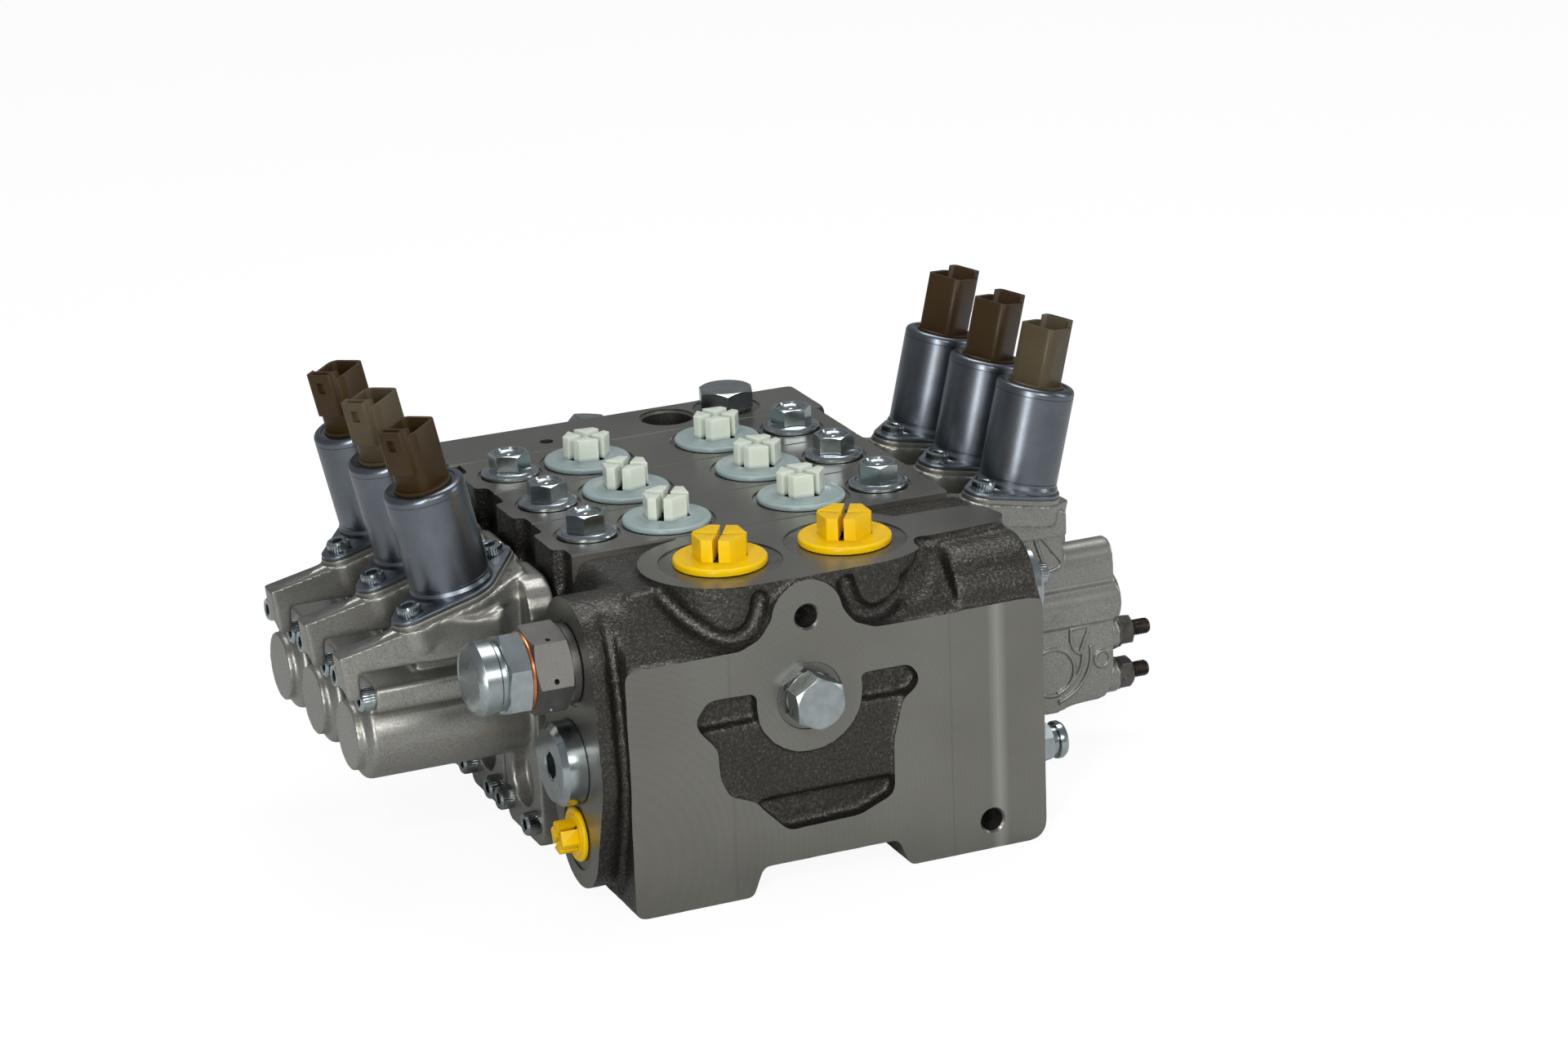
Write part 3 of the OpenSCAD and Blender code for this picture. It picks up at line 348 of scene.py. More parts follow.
# ---- finishes
class Paint:
    """A small helper that wires one finish."""

    def __init__(self, name):
        self.mat = bpy.data.materials.new(name)
        self.mat.use_nodes = True
        self.tree = self.mat.node_tree
        self.shader = self.tree.nodes["Principled BSDF"]
        self.place = self.node("ShaderNodeTexCoord").outputs["Object"]

    def wire(self, a, b):
        self.tree.links.new(a, b)

    def give(self, value, socket):
        """The socket takes another node's output, a colour, a vector or a number."""
        if hasattr(value, "links"):
            self.wire(value, socket)
        elif isinstance(value, tuple) and len(socket.default_value) == 4:
            socket.default_value = (*value, 1.0)
        else:
            socket.default_value = value

    def node(self, kind, given=None, **values):
        made = self.tree.nodes.new(kind)
        for key, value in values.items():
            setattr(made, key, value)
        for key, value in (given or {}).items():
            self.give(value, made.inputs[key])
        return made

    def figure(self, operation, a, b=0.0):
        return self.node("ShaderNodeMath", {0: a, 1: b}, operation=operation).outputs[0]

    def along(self, axis):
        return self.node("ShaderNodeSeparateXYZ", {0: self.place}).outputs[axis]

    def noise(self, scale, detail, rough, stretch=None):
        place = self.place
        if stretch is not None:
            place = self.node("ShaderNodeMapping", {"Vector": place, "Scale": stretch}).outputs[0]
        return self.node("ShaderNodeTexNoise", {"Vector": place, "Scale": scale, "Detail": detail,
                                                "Roughness": rough}).outputs["Fac"]

    def ramp(self, source, stops):
        made = self.node("ShaderNodeValToRGB")
        ramp = made.color_ramp
        while len(ramp.elements) < len(stops):
            ramp.elements.new(0.5)
        for element, (at, colour) in zip(ramp.elements, stops):
            element.position = at
            element.color = (*colour, 1.0)
        self.wire(source, made.inputs["Fac"])
        return made.outputs["Color"]

    def span(self, source, low, high, low_in=0.3, high_in=0.7):
        return self.node("ShaderNodeMapRange", {"Value": source, "From Min": low_in, "From Max": high_in,
                                                "To Min": low, "To Max": high}).outputs["Result"]

    def mix(self, share, a, b):
        return self.node("ShaderNodeMix", {0: share, 6: a, 7: b}, data_type="RGBA").outputs[2]

    def bump(self, source, distance, strength=1.0, under=None):
        made = self.node("ShaderNodeBump", {"Height": source, "Distance": distance * MM,
                                            "Strength": strength})
        if under is not None:
            self.wire(under, made.inputs["Normal"])
        return made.outputs["Normal"]

    def set(self, **values):
        names = {"metal": "Metallic", "rough": "Roughness", "colour": "Base Color", "normal": "Normal",
                 "spec": "Specular IOR Level", "sss": "Subsurface Weight", "sss_scale": "Subsurface Scale"}
        for key, value in values.items():
            self.give(value, self.shader.inputs[names[key]])
        return self.mat


def iron_cast():
    p = Paint("cast_iron_skin")
    grain = p.noise(1000, 4, 0.7)
    colour = p.ramp(grain, [(0.30, (0.024, 0.0225, 0.019)), (0.55, (0.066, 0.062, 0.054)),
                            (0.78, (0.19, 0.182, 0.164))])
    colour = p.mix(p.span(p.noise(38, 4, 0.6), 0.0, 0.45), colour, (0.036, 0.033, 0.028))
    skin = p.bump(p.noise(1700, 3, 0.65), 0.12)
    skin = p.bump(p.noise(780, 3, 0.55), 0.38, 1.0, skin)
    skin = p.bump(p.noise(260, 3, 0.5), 0.30, 0.7, skin)
    return p.set(colour=colour, metal=0.8, rough=p.span(grain, 0.40, 0.20), normal=skin)


def iron_milled():
    p = Paint("milled_iron")
    sweep = p.node("ShaderNodeMapping", {"Vector": p.place, "Location": (0.09, 0.0, -0.02)}).outputs[0]
    arcs = p.node("ShaderNodeTexWave", {"Vector": sweep, "Scale": 240, "Distortion": 1.2},
                  wave_type="RINGS", rings_direction="SPHERICAL").outputs["Fac"]
    broad = p.noise(26, 3, 0.5)
    bands = p.noise(16, 2, 0.5, (1.0, 1.0, 0.02))
    colour = p.mix(p.span(broad, 0.2, 0.8), (0.188, 0.184, 0.165), (0.240, 0.236, 0.213))
    colour = p.mix(p.span(bands, 0.0, 0.35), colour, (0.162, 0.156, 0.138))
    colour = p.mix(p.span(p.noise(1600, 3, 0.6), 0.0, 0.25, 0.6, 0.75), colour, (0.08, 0.073, 0.065))
    colour = p.mix(p.span(arcs, 0.0, 0.07, 0.0, 1.0), colour, (0.10, 0.094, 0.085))
    # a painted highlight: one bright upright band on the front face stands for the streak of light that the
    # milled face reflects; the cutter's passes left the two faint dark seams
    front = p.span(p.along("Y"), 1.0, 0.0, -0.1009, -0.1004)
    dark = (0.09, 0.083, 0.074)
    # the first band is the painted highlight, the other two are the cutter's seams
    for x, half, share, tone in ((57.2, 3.6, 0.36, (0.60, 0.59, 0.55)), (39.6, 0.5, 0.30, dark),
                                 (-41.0, 0.9, 0.22, dark)):
        away = p.figure("ABSOLUTE", p.figure("SUBTRACT", p.along("X"), x * MM))
        near = p.figure("MULTIPLY", p.span(away, share, 0.0, 0.0, half * MM), front)
        colour = p.mix(near, colour, tone)
    return p.set(colour=colour, metal=0.85, rough=p.span(broad, 0.27, 0.36), normal=p.bump(arcs, 0.006, 0.6))


def iron_turned():
    p = Paint("turned_iron")
    fine = p.noise(1400, 3, 0.6)
    broad = p.noise(120, 2, 0.5)
    colour = p.mix(p.span(broad, 0.0, 1.0), (0.150, 0.143, 0.130), (0.215, 0.207, 0.190))
    return p.set(colour=colour, metal=0.9, rough=p.span(fine, 0.22, 0.36), normal=p.bump(fine, 0.006, 0.5))


def die_cast(name, smooth, grit, waves):
    p = Paint(name)
    grain = p.noise(1500, 4, 0.7)
    colour = p.mix(p.span(grain, 0.1, 0.9), (0.185, 0.181, 0.165), (0.43, 0.422, 0.39))
    colour = p.mix(p.span(p.noise(45, 4, 0.55), 0.0, 0.35), colour, (0.185, 0.180, 0.163))
    skin = p.bump(p.noise(300, 3, 0.5), waves, 0.5, p.bump(grain, grit, 0.8))
    return p.set(colour=colour, metal=0.8, rough=p.span(grain, 0.44 - smooth, 0.30 - smooth), normal=skin)


def zinc(name, tint, rough):
    p = Paint(name)
    smear = p.noise(170, 4, 0.6)
    colour = p.mix(p.span(smear, 0.0, 1.0), tint, tuple(c * 0.72 for c in tint))
    skin = p.bump(p.noise(420, 2, 0.5), 0.006, 0.4, p.bump(p.noise(2400, 3, 0.6), 0.003, 0.5))
    return p.set(colour=colour, metal=1.0, rough=p.span(smear, rough, rough + 0.10), normal=skin)


def can_steel():
    p = Paint("drawn_can_steel")
    mottle = p.noise(700, 4, 0.7)
    colour = p.mix(p.span(p.noise(60, 4, 0.6), 0.0, 1.0), (0.185, 0.205, 0.232), (0.140, 0.156, 0.176))
    colour = p.mix(p.span(mottle, 0.0, 0.22, 0.5, 0.8), colour, (0.10, 0.105, 0.115))
    skin = p.bump(p.noise(240, 2, 0.5), 0.004, 0.4)
    return p.set(colour=colour, metal=1.0, rough=p.span(mottle, 0.28, 0.34), normal=skin)


def grey_steel():
    p = Paint("phosphated_steel")
    fine = p.noise(2200, 4, 0.7)
    colour = p.mix(p.span(fine, 0.0, 1.0), (0.10, 0.097, 0.092), (0.205, 0.20, 0.19))
    colour = p.mix(p.span(p.noise(80, 3, 0.5), 0.0, 0.3), colour, (0.085, 0.082, 0.077))
    return p.set(colour=colour, metal=0.85, rough=p.span(fine, 0.38, 0.52), normal=p.bump(fine, 0.015, 0.7))


def two_tone(name, cloud, tones, metal, rough, relief, grain=None):
    """Two tones that drift into each other; the relief follows them, or has a grain of its own."""
    p = Paint(name)
    drift = p.noise(*cloud)
    colour = p.mix(p.span(drift, 0.0, 1.0), *tones)
    skin = p.bump(p.noise(*grain) if grain else drift, *relief)
    return p.set(colour=colour, metal=metal, rough=p.span(drift, *rough), normal=skin)


def plastic(name, light, dark, rough, sss=0.0, shine=0.5, lit=None):
    p = Paint(name)
    p.shader.inputs["Subsurface Radius"].default_value = (1.0, 1.0, 1.0)
    fine = p.noise(900, 3, 0.6)
    colour = p.mix(p.span(p.noise(55, 2, 0.5), 0.0, 1.0), light, dark)
    if lit is not None:
        # the thin fingers above the flange pass more light
        colour = p.mix(p.span(p.along("Z"), 0.0, 1.0, 0.1118, 0.1135), colour, lit)
    return p.set(colour=colour, rough=p.span(fine, rough - 0.03, rough + 0.06), sss=sss, sss_scale=0.003,
                 normal=p.bump(fine, 0.01, 0.4), spec=shine)


CAST = iron_cast()
MILLED = iron_milled()
TURNED = iron_turned()
PILOT = die_cast("die_cast_skin", 0.0, 0.035, 0.06)
SHAVED = die_cast("die_cast_shaved", 0.14, 0.008, 0.01)
ZINC = zinc("bright_zinc", (0.46, 0.515, 0.525), 0.15)
PALE_ZINC = zinc("pale_turned_zinc", (0.43, 0.48, 0.485), 0.24)
CAN = can_steel()
GREY = grey_steel()
DARK = two_tone("dark_flange_steel", (150, 4, 0.6), ((0.140, 0.158, 0.182), (0.200, 0.222, 0.252)),
                0.9, (0.30, 0.42), (0.005, 0.5), (900, 3, 0.6))
COPPER = two_tone("soft_copper", (300, 3, 0.6), ((0.72, 0.28, 0.12), (0.45, 0.16, 0.07)),
                  1.0, (0.26, 0.4), (0.02, 0.4))
BLACK = two_tone("blackened_steel", (400, 3, 0.6), ((0.035, 0.026, 0.022), (0.085, 0.068, 0.058)),
                 0.8, (0.32, 0.46), (0.012, 0.6), (1500, 3, 0.6))
NUT_GREY = two_tone("phosphated_nut_steel", (400, 3, 0.6), ((0.070, 0.066, 0.057), (0.120, 0.114, 0.100)),
                    0.8, (0.32, 0.46), (0.012, 0.6), (1500, 3, 0.6))
GROUND = two_tone("ground_steel", (500, 2, 0.5, (6.0, 1.0, 1.0)), ((0.42, 0.42, 0.43), (0.50, 0.50, 0.51)),
                  1.0, (0.14, 0.24), (0.003, 0.5))
RUBBER = two_tone("seal_rubber", (1200, 3, 0.6), ((0.012, 0.012, 0.012), (0.03, 0.03, 0.03)),
                  0.0, (0.55, 0.75), (0.02, 0.5))
YELLOW = plastic("yellow_polyethylene", (0.80, 0.51, 0.001), (0.77, 0.46, 0.001), 0.22, 0.06, shine=0.2)
MILK = plastic("milky_polyethylene", (0.29, 0.355, 0.355), (0.26, 0.33, 0.335), 0.20, 0.35,
               lit=(0.63, 0.68, 0.59))
BROWN = plastic("brown_polyamide", (0.044, 0.025, 0.0085), (0.034, 0.019, 0.0065), 0.34, shine=0.22)
OLIVE = plastic("olive_polyamide", (0.076, 0.058, 0.031), (0.063, 0.047, 0.025), 0.36, shine=0.25)


# ---- repeats
def repeat_tree(name):
    """A tree that sets one master piece at every point, turned as the point's aim says."""
    tree = bpy.data.node_groups.new(name, "GeometryNodeTree")
    for label, kind in (("Places", "Geometry"), ("Master", "Object"), ("Finish", "Material"),
                        ("Loose turn", "Float"), ("Seed", "Int")):
        tree.interface.new_socket(label, in_out="INPUT", socket_type="NodeSocket" + kind)
    tree.interface.new_socket("Pieces", in_out="OUTPUT", socket_type="NodeSocketGeometry")
    new = tree.nodes.new
    given = new("NodeGroupInput").outputs
    master = new("GeometryNodeObjectInfo")
    aim = new("GeometryNodeInputNamedAttribute")
    aim.data_type = "FLOAT_VECTOR"
    aim.inputs["Name"].default_value = "aim"
    turn = new("FunctionNodeEulerToRotation")
    put = new("GeometryNodeInstanceOnPoints")
    chance = new("FunctionNodeRandomValue")
    chance.data_type = "FLOAT"
    low = new("ShaderNodeMath")
    low.operation = "MULTIPLY"
    low.inputs[1].default_value = -1.0
    spin = new("ShaderNodeCombineXYZ")
    roll = new("GeometryNodeRotateInstances")
    real = new("GeometryNodeRealizeInstances")
    coat = new("GeometryNodeSetMaterial")
    for source, target in (
            (given["Master"], master.inputs["Object"]), (aim.outputs["Attribute"], turn.inputs[0]),
            (given["Places"], put.inputs["Points"]), (master.outputs["Geometry"], put.inputs["Instance"]),
            (turn.outputs[0], put.inputs["Rotation"]), (given["Seed"], chance.inputs["Seed"]),
            (given["Loose turn"], low.inputs[0]), (low.outputs[0], chance.inputs[2]),
            (given["Loose turn"], chance.inputs[3]), (chance.outputs[1], spin.inputs["Z"]),
            (put.outputs["Instances"], roll.inputs["Instances"]), (spin.outputs[0], roll.inputs["Rotation"]),
            (roll.outputs["Instances"], real.inputs[0]), (real.outputs[0], coat.inputs["Geometry"]),
            (given["Finish"], coat.inputs["Material"]),
            (coat.outputs[0], new("NodeGroupOutput").inputs[0])):
        tree.links.new(source, target)
    return tree


REPEAT = repeat_tree("set_at_places")


def repeat(name, master, places, finish, loose=0.0, seed=1, angle=30.0):
    """The master at each place, as one plain mesh; the master is used up."""
    mesh = bpy.data.meshes.new(name)
    mesh.from_pydata([m.to_translation() for m in places], [], [])
    aim = mesh.attributes.new("aim", "FLOAT_VECTOR", "POINT")
    for i, m in enumerate(places):
        aim.data[i].vector = m.to_euler()
    body = link(name, mesh)
    step = body.modifiers.new("places", "NODES")
    step.node_group = REPEAT
    values = {"Master": master, "Finish": finish, "Loose turn": radians(loose), "Seed": seed}
    for item in REPEAT.interface.items_tree:
        if item.in_out == "INPUT" and item.name in values:
            step[item.identifier] = values[item.name]
    settle(body)
    drop(master)
    return shade(body, angle)


# ---- castings
def cord(name, points, r, finish, closed=False):
    """A round bar through the points, with closed ends."""
    line = bpy.data.curves.new(name, "CURVE")
    line.dimensions = "3D"
    line.bevel_depth = r * MM
    line.bevel_resolution = 4
    line.use_fill_caps = True
    path = line.splines.new("POLY")
    path.points.add(len(points) - 1)
    path.use_cyclic_u = closed
    for place, point in zip(path.points, points):
        place.co = (*point, 1.0)
    holder = link(name, line)
    graph = bpy.context.evaluated_depsgraph_get()
    graph.update()
    mesh = bpy.data.meshes.new_from_object(holder.evaluated_get(graph))
    bpy.data.objects.remove(holder)
    bpy.data.curves.remove(line)
    made = opened(mesh)
    bmesh.ops.remove_doubles(made, verts=made.verts, dist=1e-6)
    bmesh.ops.recalc_face_normals(made, faces=made.faces)
    return link(name, closed_up(made, mesh), finish)


def ridges(body, paths, r, sink, finish):
    """Raised lines on the side of the body that looks to -Y; each path is given in X and Z."""
    made = opened(body.data)
    skin = BVHTree.FromBMesh(made)
    made.free()
    for path, closed in paths:
        points = []
        for (x0, z0), (x1, z1) in zip(path, path[1:] + path[:1] if closed else path[1:]):
            n = max(1, int(hypot(x1 - x0, z1 - z0) / 0.8))
            points += [(x0 + (x1 - x0) * i / n, z0 + (z1 - z0) * i / n) for i in range(n)]
        if not closed:
            points.append(path[-1])
        laid = []
        for x, z in points:
            place = spot(x, 0, z).to_translation() - Vector((0, 0.2, 0))
            hit = skin.ray_cast(place, Vector((0, 1, 0)))[0]
            if hit is not None:
                laid.append(hit + Vector((0, sink * MM, 0)))
        shape(body, cord("ridge", laid, r, finish, closed), "UNION")


def arc(x, z, r, start, end, n=28):
    return [(x + r * cos(radians(start + (end - start) * i / n)),
             z + r * sin(radians(start + (end - start) * i / n))) for i in range(n + 1)]


def half_space(axis, at, out, finish):
    """A large block that fills everything beyond a plane; at is in the written millimetres."""
    low = [-400.0, -400.0, -100.0]
    high = [400.0, 400.0, 300.0]
    at = at + (SHIFT[axis] if axis < 2 else 0.0)
    if out > 0:
        low[axis] = at
    else:
        high[axis] = at
    return block("beyond", low, high, finish)


def stretch(body, axis, at, out):
    """Adds machining stock beyond a plane: the thin slab of the body there is drawn outwards."""
    far, slab = 3.0, 0.08
    more = link("stock", body.data.copy())
    shape(more, half_space(axis, at - slab * out, -out, CAST))
    base = (at - slab * out + (SHIFT[axis] if axis < 2 else 0.0)) * MM
    for vert in more.data.vertices:
        vert.co[axis] = base + (vert.co[axis] - base) * far / slab
    shape(body, more, "UNION")


def bore(r, depth, place, finish=TURNED, over=8.0, lip=0.0, top=0.0):
    """A bore along -Z with a small countersunk lip at its mouth."""
    mouth = [(r, top - lip), (r + lip, top), (r + lip, over)] if lip else [(r, over)]
    return move(turned("bore", [(0, -depth), (r, -depth), *mouth, (0, over)], finish, 96), place)


def casting(node, name, faces, fills, bores, voxel, soften, finish=CAST, lumps=0.25, cuts=()):
    """The node's solid with a cast skin; each machined face is (axis, place, way out)."""
    body = cad_twin(node, name, finish)
    for face in faces:
        stretch(body, *face)
    for tool in fills:
        shape(body, tool, "UNION")
    for tool in cuts:
        shape(body, tool)
    skin = body.modifiers.new("skin", "REMESH")
    skin.mode = "VOXEL"
    skin.voxel_size = voxel * MM
    soft = body.modifiers.new("soft", "SMOOTH")
    soft.factor = 0.5
    soft.iterations = soften
    cloud = bpy.data.textures.new(name + "_lumps", "CLOUDS")
    cloud.noise_scale = 0.006
    cloud.noise_depth = 2
    wave = body.modifiers.new("wave", "DISPLACE")
    wave.texture = cloud
    wave.texture_coords = "LOCAL"
    wave.strength = lumps * MM
    wave.mid_level = 0.5
    settle(body)
    body.data.materials.clear()
    body.data.materials.append(finish)
    for face in faces:
        shape(body, half_space(*face, MILLED))
    for tool in bores:
        shape(body, tool)
    return shade(body, 40.0)


def port(x, y, spot_r, wall_r, depth, z=TOP, rx=0.0):
    """A spotface and the bore under it."""
    place = spot(x, y, z, rx)
    return [bore(spot_r, 0.5, place, lip=0.18),
            bore(wall_r, depth, place, over=0.4, lip=0.8, top=-0.5)]


def fill(x, y, z, r, deep, high, rx=0.0, ry=0.0):
    """Metal round a place that a bore will open again."""
    return move(rod("fill", r, -deep, high, CAST, 48), spot(x, y, z, rx, ry))


def seam(y):
    """A small V along the joint of two elements."""
    tool = block("seam", (-200, -0.45, -0.45), (200, 0.45, 0.45), MILLED)
    return move(move(tool, swing(45, "X")), spot(0, y, TOP))


def pocket_floor():
    """The middle of the front pocket lies just under the milled face; its wings and its foot are deeper."""
    outline = [(-45, 33.6), (45, 33.6), (45, 62.2), (-45, 62.2)]
    return move(prism("floor", outline, -5.5, -1.1, CAST), spot(0, 0, 0, rx=90))


def inlet_casting():
    fills = [pocket_floor()]
    bores = []
    for x in MAIN_PORTS.values():
        fills.append(fill(x, MAIN_LINE, TOP, 22.5, 22, 3))
        bores += port(x, MAIN_LINE, 21, 12.1, 20)
    fills.append(fill(0, 0, FRONT_PORT_Z, 14, 12, 3, rx=90))
    bores += port(0, 0, 11.7, 5.9, 13, FRONT_PORT_Z, rx=90)
    for x, z in FRONT_HOLES:
        fills.append(fill(x, 0, z, 6, 18, 3, rx=90))
        bores.append(bore(4.0, 16, spot(x, 0, z, rx=90), lip=0.7))
    ls_port = spot(SIDE_A, SIDE_LINE, LS_Z, ry=-90)
    bores += [bore(12.5, 0.5, ls_port), bore(5.9, 13, ls_port)]
    for z in (COMPENSATOR_Z, RELIEF_Z):
        bores.append(bore(14.6, 0.3, spot(SIDE_A, SIDE_LINE, z, ry=-90), lip=0.2))
    bores.append(seam(INLET))
    # the rounded shoulder behind the front plate on the T side
    fills.append(fill(56, 18.5, 89.2, 17.6, 0, 30, ry=90))
    faces = [(2, TOP, 1), (1, 0.0, -1), (1, INLET, 1), (0, SIDE_A, -1)]
    # flowing skin: a long valley behind the front plate's left edge, and one round each main port lobe
    edge = [(16, 4), (11.5, 12), (8.2, 22), (5.0, 33), (2.6, 46), (3.2, 60), (5.2, 76), (7.4, 88), (11, 98),
            (17, 106)]
    valleys = [([(-66.5, y - 0.9, z) for y, z in edge], 2.3),
               ([(-15.0, 2.6, 107), (-16.5, 2.2, 100), (-19.5, 1.6, 94.8), (-24, 1.4, 92.3), (-29, 2.4, 92.6),
                 (-34, 5.0, 95.0), (-40, 10.2, 99.8), (-45.5, 17, 107)], 3.1),
               ([(15.0, 2.6, 107), (16.5, 2.2, 100), (19.5, 1.6, 94.8), (24, 1.4, 92.4), (30, 2.4, 92.9),
                 (36, 4.8, 95.9), (43, 8.5, 101), (49, 13, 107)], 3.3),
               ([(54, 16, 112), (50, 9.0, 104.2), (44, 4.6, 99.2), (37, 3.2, 97.2)], 6.5)]
    cuts = [cord("valley", [spot(*v).to_translation() for v in path], r, CAST) for path, r in valleys]
    body = casting("inlet_element", "inlet_casting", faces, fills, bores, 1.0, 10, cuts=cuts)
    stand_for(body, "inlet_element")


def section_castings():
    fills = []
    bores = []
    for x in WORK_PORTS.values():
        fills.append(fill(x, MIDS[0], TOP, 18, 20, 3))
        bores += port(x, MIDS[0], 17, 9.4, 16)
    for x in FLANGE_PORTS:
        fills.append(fill(x, MIDS[0], TOP, 12.5, 16, 3))
        bores += port(x, MIDS[0], 11.5, 7.9, 13)
    bores += [seam(INLET), seam(INLET + PITCH)]
    faces = [(2, TOP, 1), (1, INLET, -1), (1, INLET + PITCH, 1)]
    master = casting("section_1", "section_master", faces, fills, bores, 1.1, 9)
    share_out(master, "section_casting", "section")


def end_casting():
    fills = [fill(*OPEN_PORT, TOP, 12, 18, 3), fill(*END_PLUG, TOP, 14, 15, 3)]
    fills += [fill(x, STACK_BACK + 10, TOP, 4, 16, 3) for x in END_HOLES]
    bores = port(*OPEN_PORT, 9.9, 9.4, 16) + port(*END_PLUG, 12.4, 5.9, 12)
    bores += [bore(2.5, 14, spot(x, STACK_BACK + 10, TOP), MILLED) for x in END_HOLES]
    bores.append(seam(STACK_BACK))
    faces = [(2, TOP, 1), (1, STACK_BACK, -1)]
    body = casting("end_element", "end_casting", faces, fills, bores, 1.15, 9)
    stand_for(body, "end_element")


def screw_holes(body, side):
    """Both flange screws' holes, cut before the body goes to its axis."""
    for x, y in (FRONT_SCREW, REAR_SCREW[side]):
        shape(body, move(rod("hole", 2.6, -30, 0, DARK, 32), shift(x, y, 0)))


def pilot_caps(side):
    """One side's pilot caps, each with the pad on which its solenoid stands."""
    letter = LETTER[side]
    cuts = []
    if side > 0:
        # the barrel stands out from the lever housing under it and from the neck above it
        for z0, z1, deep in ((0, 46.6, 7.5), (60.4, 82.4, 6.7)):
            low = (97.0 + SHIFT[0], MIDS[0] + SHIFT[1] - 12, z0)
            cuts.append(block("panel", low, (160, MIDS[0] + SHIFT[1] - deep, z1), PILOT))
    master = casting(f"cap_{letter}_1", f"pilot_master_{letter}", [], [], [], 0.75, 3 if side > 0 else 7,
                     PILOT, 0.06, cuts)
    shape(master, move(block("above", (-60, -60, 0), (60, 60, 40), SHAVED), on_axis(side, 0, s=PAD_S)))
    if side > 0:
        lines = [(arc(125.4, 30, 8.9, 0, 350, 40), True), (arc(124.1, 34.8, 17.0, -78, 12), False),
                 (arc(124.1, 34.8, 13.6, -78, 8), False), (arc(145.7, 32, 3.0, 0, 345, 20), True),
                 ([(133.0, 45.4), (140.6, 45.5), (136.4, 35.4), (134.2, 37.5), (133.0, 41.0)], True),
                 ([(119.8, 81.2), (122.4, 81.9), (130.4, 71.5), (129.4, 69.5), (124.2, 68.3)], True)]
        ridges(master, lines, 0.85, 0.25, PILOT)
    rim = prism("pad_rim", oval_outline(side, 7.0, 16.0), PAD_S - 0.6, PAD_S + RIM, PILOT)
    screw_holes(bevelled(rim, 0.3, 2, 50), side)
    shape(rim, rod("stem_hole", 6.1, PAD_S - 3, PAD_S + 4, SHAVED, 48))
    master = gather(f"pilot_set_{letter}", [master, move(rim, on_axis(side, 0))])
    share_out(master, f"pilot_cap_{letter}", f"cap_{letter}")


# ---- solenoids
def oval_outline(side, r_end, r_mid):
    """Two end lobes and a round middle joined by tangents, as one convex outline."""
    points = []
    for cx, cy, r in ((*FRONT_SCREW, r_end), (0.0, 0.0, r_mid), (*REAR_SCREW[side], r_end)):
        points += [(cx + x, cy + y) for x, y in ring_points(48, r)]
    points = sorted(set((round(x, 4), round(y, 4)) for x, y in points))

    def chain(seq):
        out = []
        for p in seq:
            while len(out) > 1 and ((out[-1][0] - out[-2][0]) * (p[1] - out[-2][1])
                                    - (out[-1][1] - out[-2][1]) * (p[0] - out[-2][0])) <= 0:
                out.pop()
            out.append(p)
        return out

    low = chain(points)
    high = chain(reversed(points))
    return low[:-1] + high[:-1]


def can_profile():
    """The drawn can: a swaged bead over the plate, a bead under the top edge, and a dished top."""
    base = OVAL_TOP - 0.4
    shoulder = [(12.0 + 2.0 * cos(radians(a)), CAN_TOP - 2.0 + 2.0 * sin(radians(a)))
                for a in range(0, 91, 15)]
    return ([(0, base), (14.6, base), (14.6, OVAL_TOP + 1.4), (14.3, OVAL_TOP + 2.0), (14.0, OVAL_TOP + 2.6),
             (14.0, OVAL_TOP + 3.4), (13.85, OVAL_TOP + 3.5), (14.0, OVAL_TOP + 3.7), (14.0, CAN_TOP - 3.3),
             (13.86, CAN_TOP - 3.2), (14.0, CAN_TOP - 3.1)] + shoulder
            + [(11.2, CAN_TOP - 0.1), (11.0, CAN_TOP - 0.5), (9.9, CAN_TOP - 0.6), (9.9, CAN_TOP - 2.0),
               (0, CAN_TOP - 2.0)])


def solenoid(side, k):
    node = f"solenoid_{LETTER[side]}_{k + 1}"
    plate = prism("plate", oval_outline(side, 6.6, 15.6), PAD_S + RIM, OVAL_TOP, DARK)
    screw_holes(bevelled(plate, 0.35, 2, 50), side)
    can = turned("can", can_profile(), CAN, 96, 25)
    stem = turned("stem", [(0, PAD_S - 13), (5.2, PAD_S - 13), (6, PAD_S - 12), (6, PAD_S + 0.5),
                           (0, PAD_S + 0.5)], ZINC, 48)
    body = gather(node + "_dressed", [plate, can, stem])
    stand_for(move(body, on_axis(side, k)), node)


# ---- screws and plugs
def socket_head(r, h, shank):
    """A zinc plated socket head screw with a knurled head, its seat at zero."""
    n = 72
    made = turned("screw", [(0, -shank), (2.5, -shank), (2.5, 0.0), (r - 0.15, 0.0), (r, 0.2), (r, h * 0.62),
                            (r - 0.05, h - 0.75), (r - 0.6, h), (0, h)], ZINC, n, 40)
    for vert in made.data.vertices:
        x, y, z = vert.co
        if hypot(x, y) > (r - 0.1) * MM and 0.1 * MM < z < h * 0.65 * MM:
            groove = 1.0 - 0.035 * (round(atan2(y, x) / (2 * pi) * n) % 2)
            vert.co.x *= groove
            vert.co.y *= groove
    shape(made, prism("key", ring_points(6, r * 0.8 / sqrt(3) * 1.15, 0), h * 0.4, h + 1, ZINC))
    return shape(made, turned("rim", [(0, h - 0.35), (r * 0.56, h - 0.35), (r * 0.70, h + 0.2),
                                      (0, h + 0.2)], ZINC, 48))


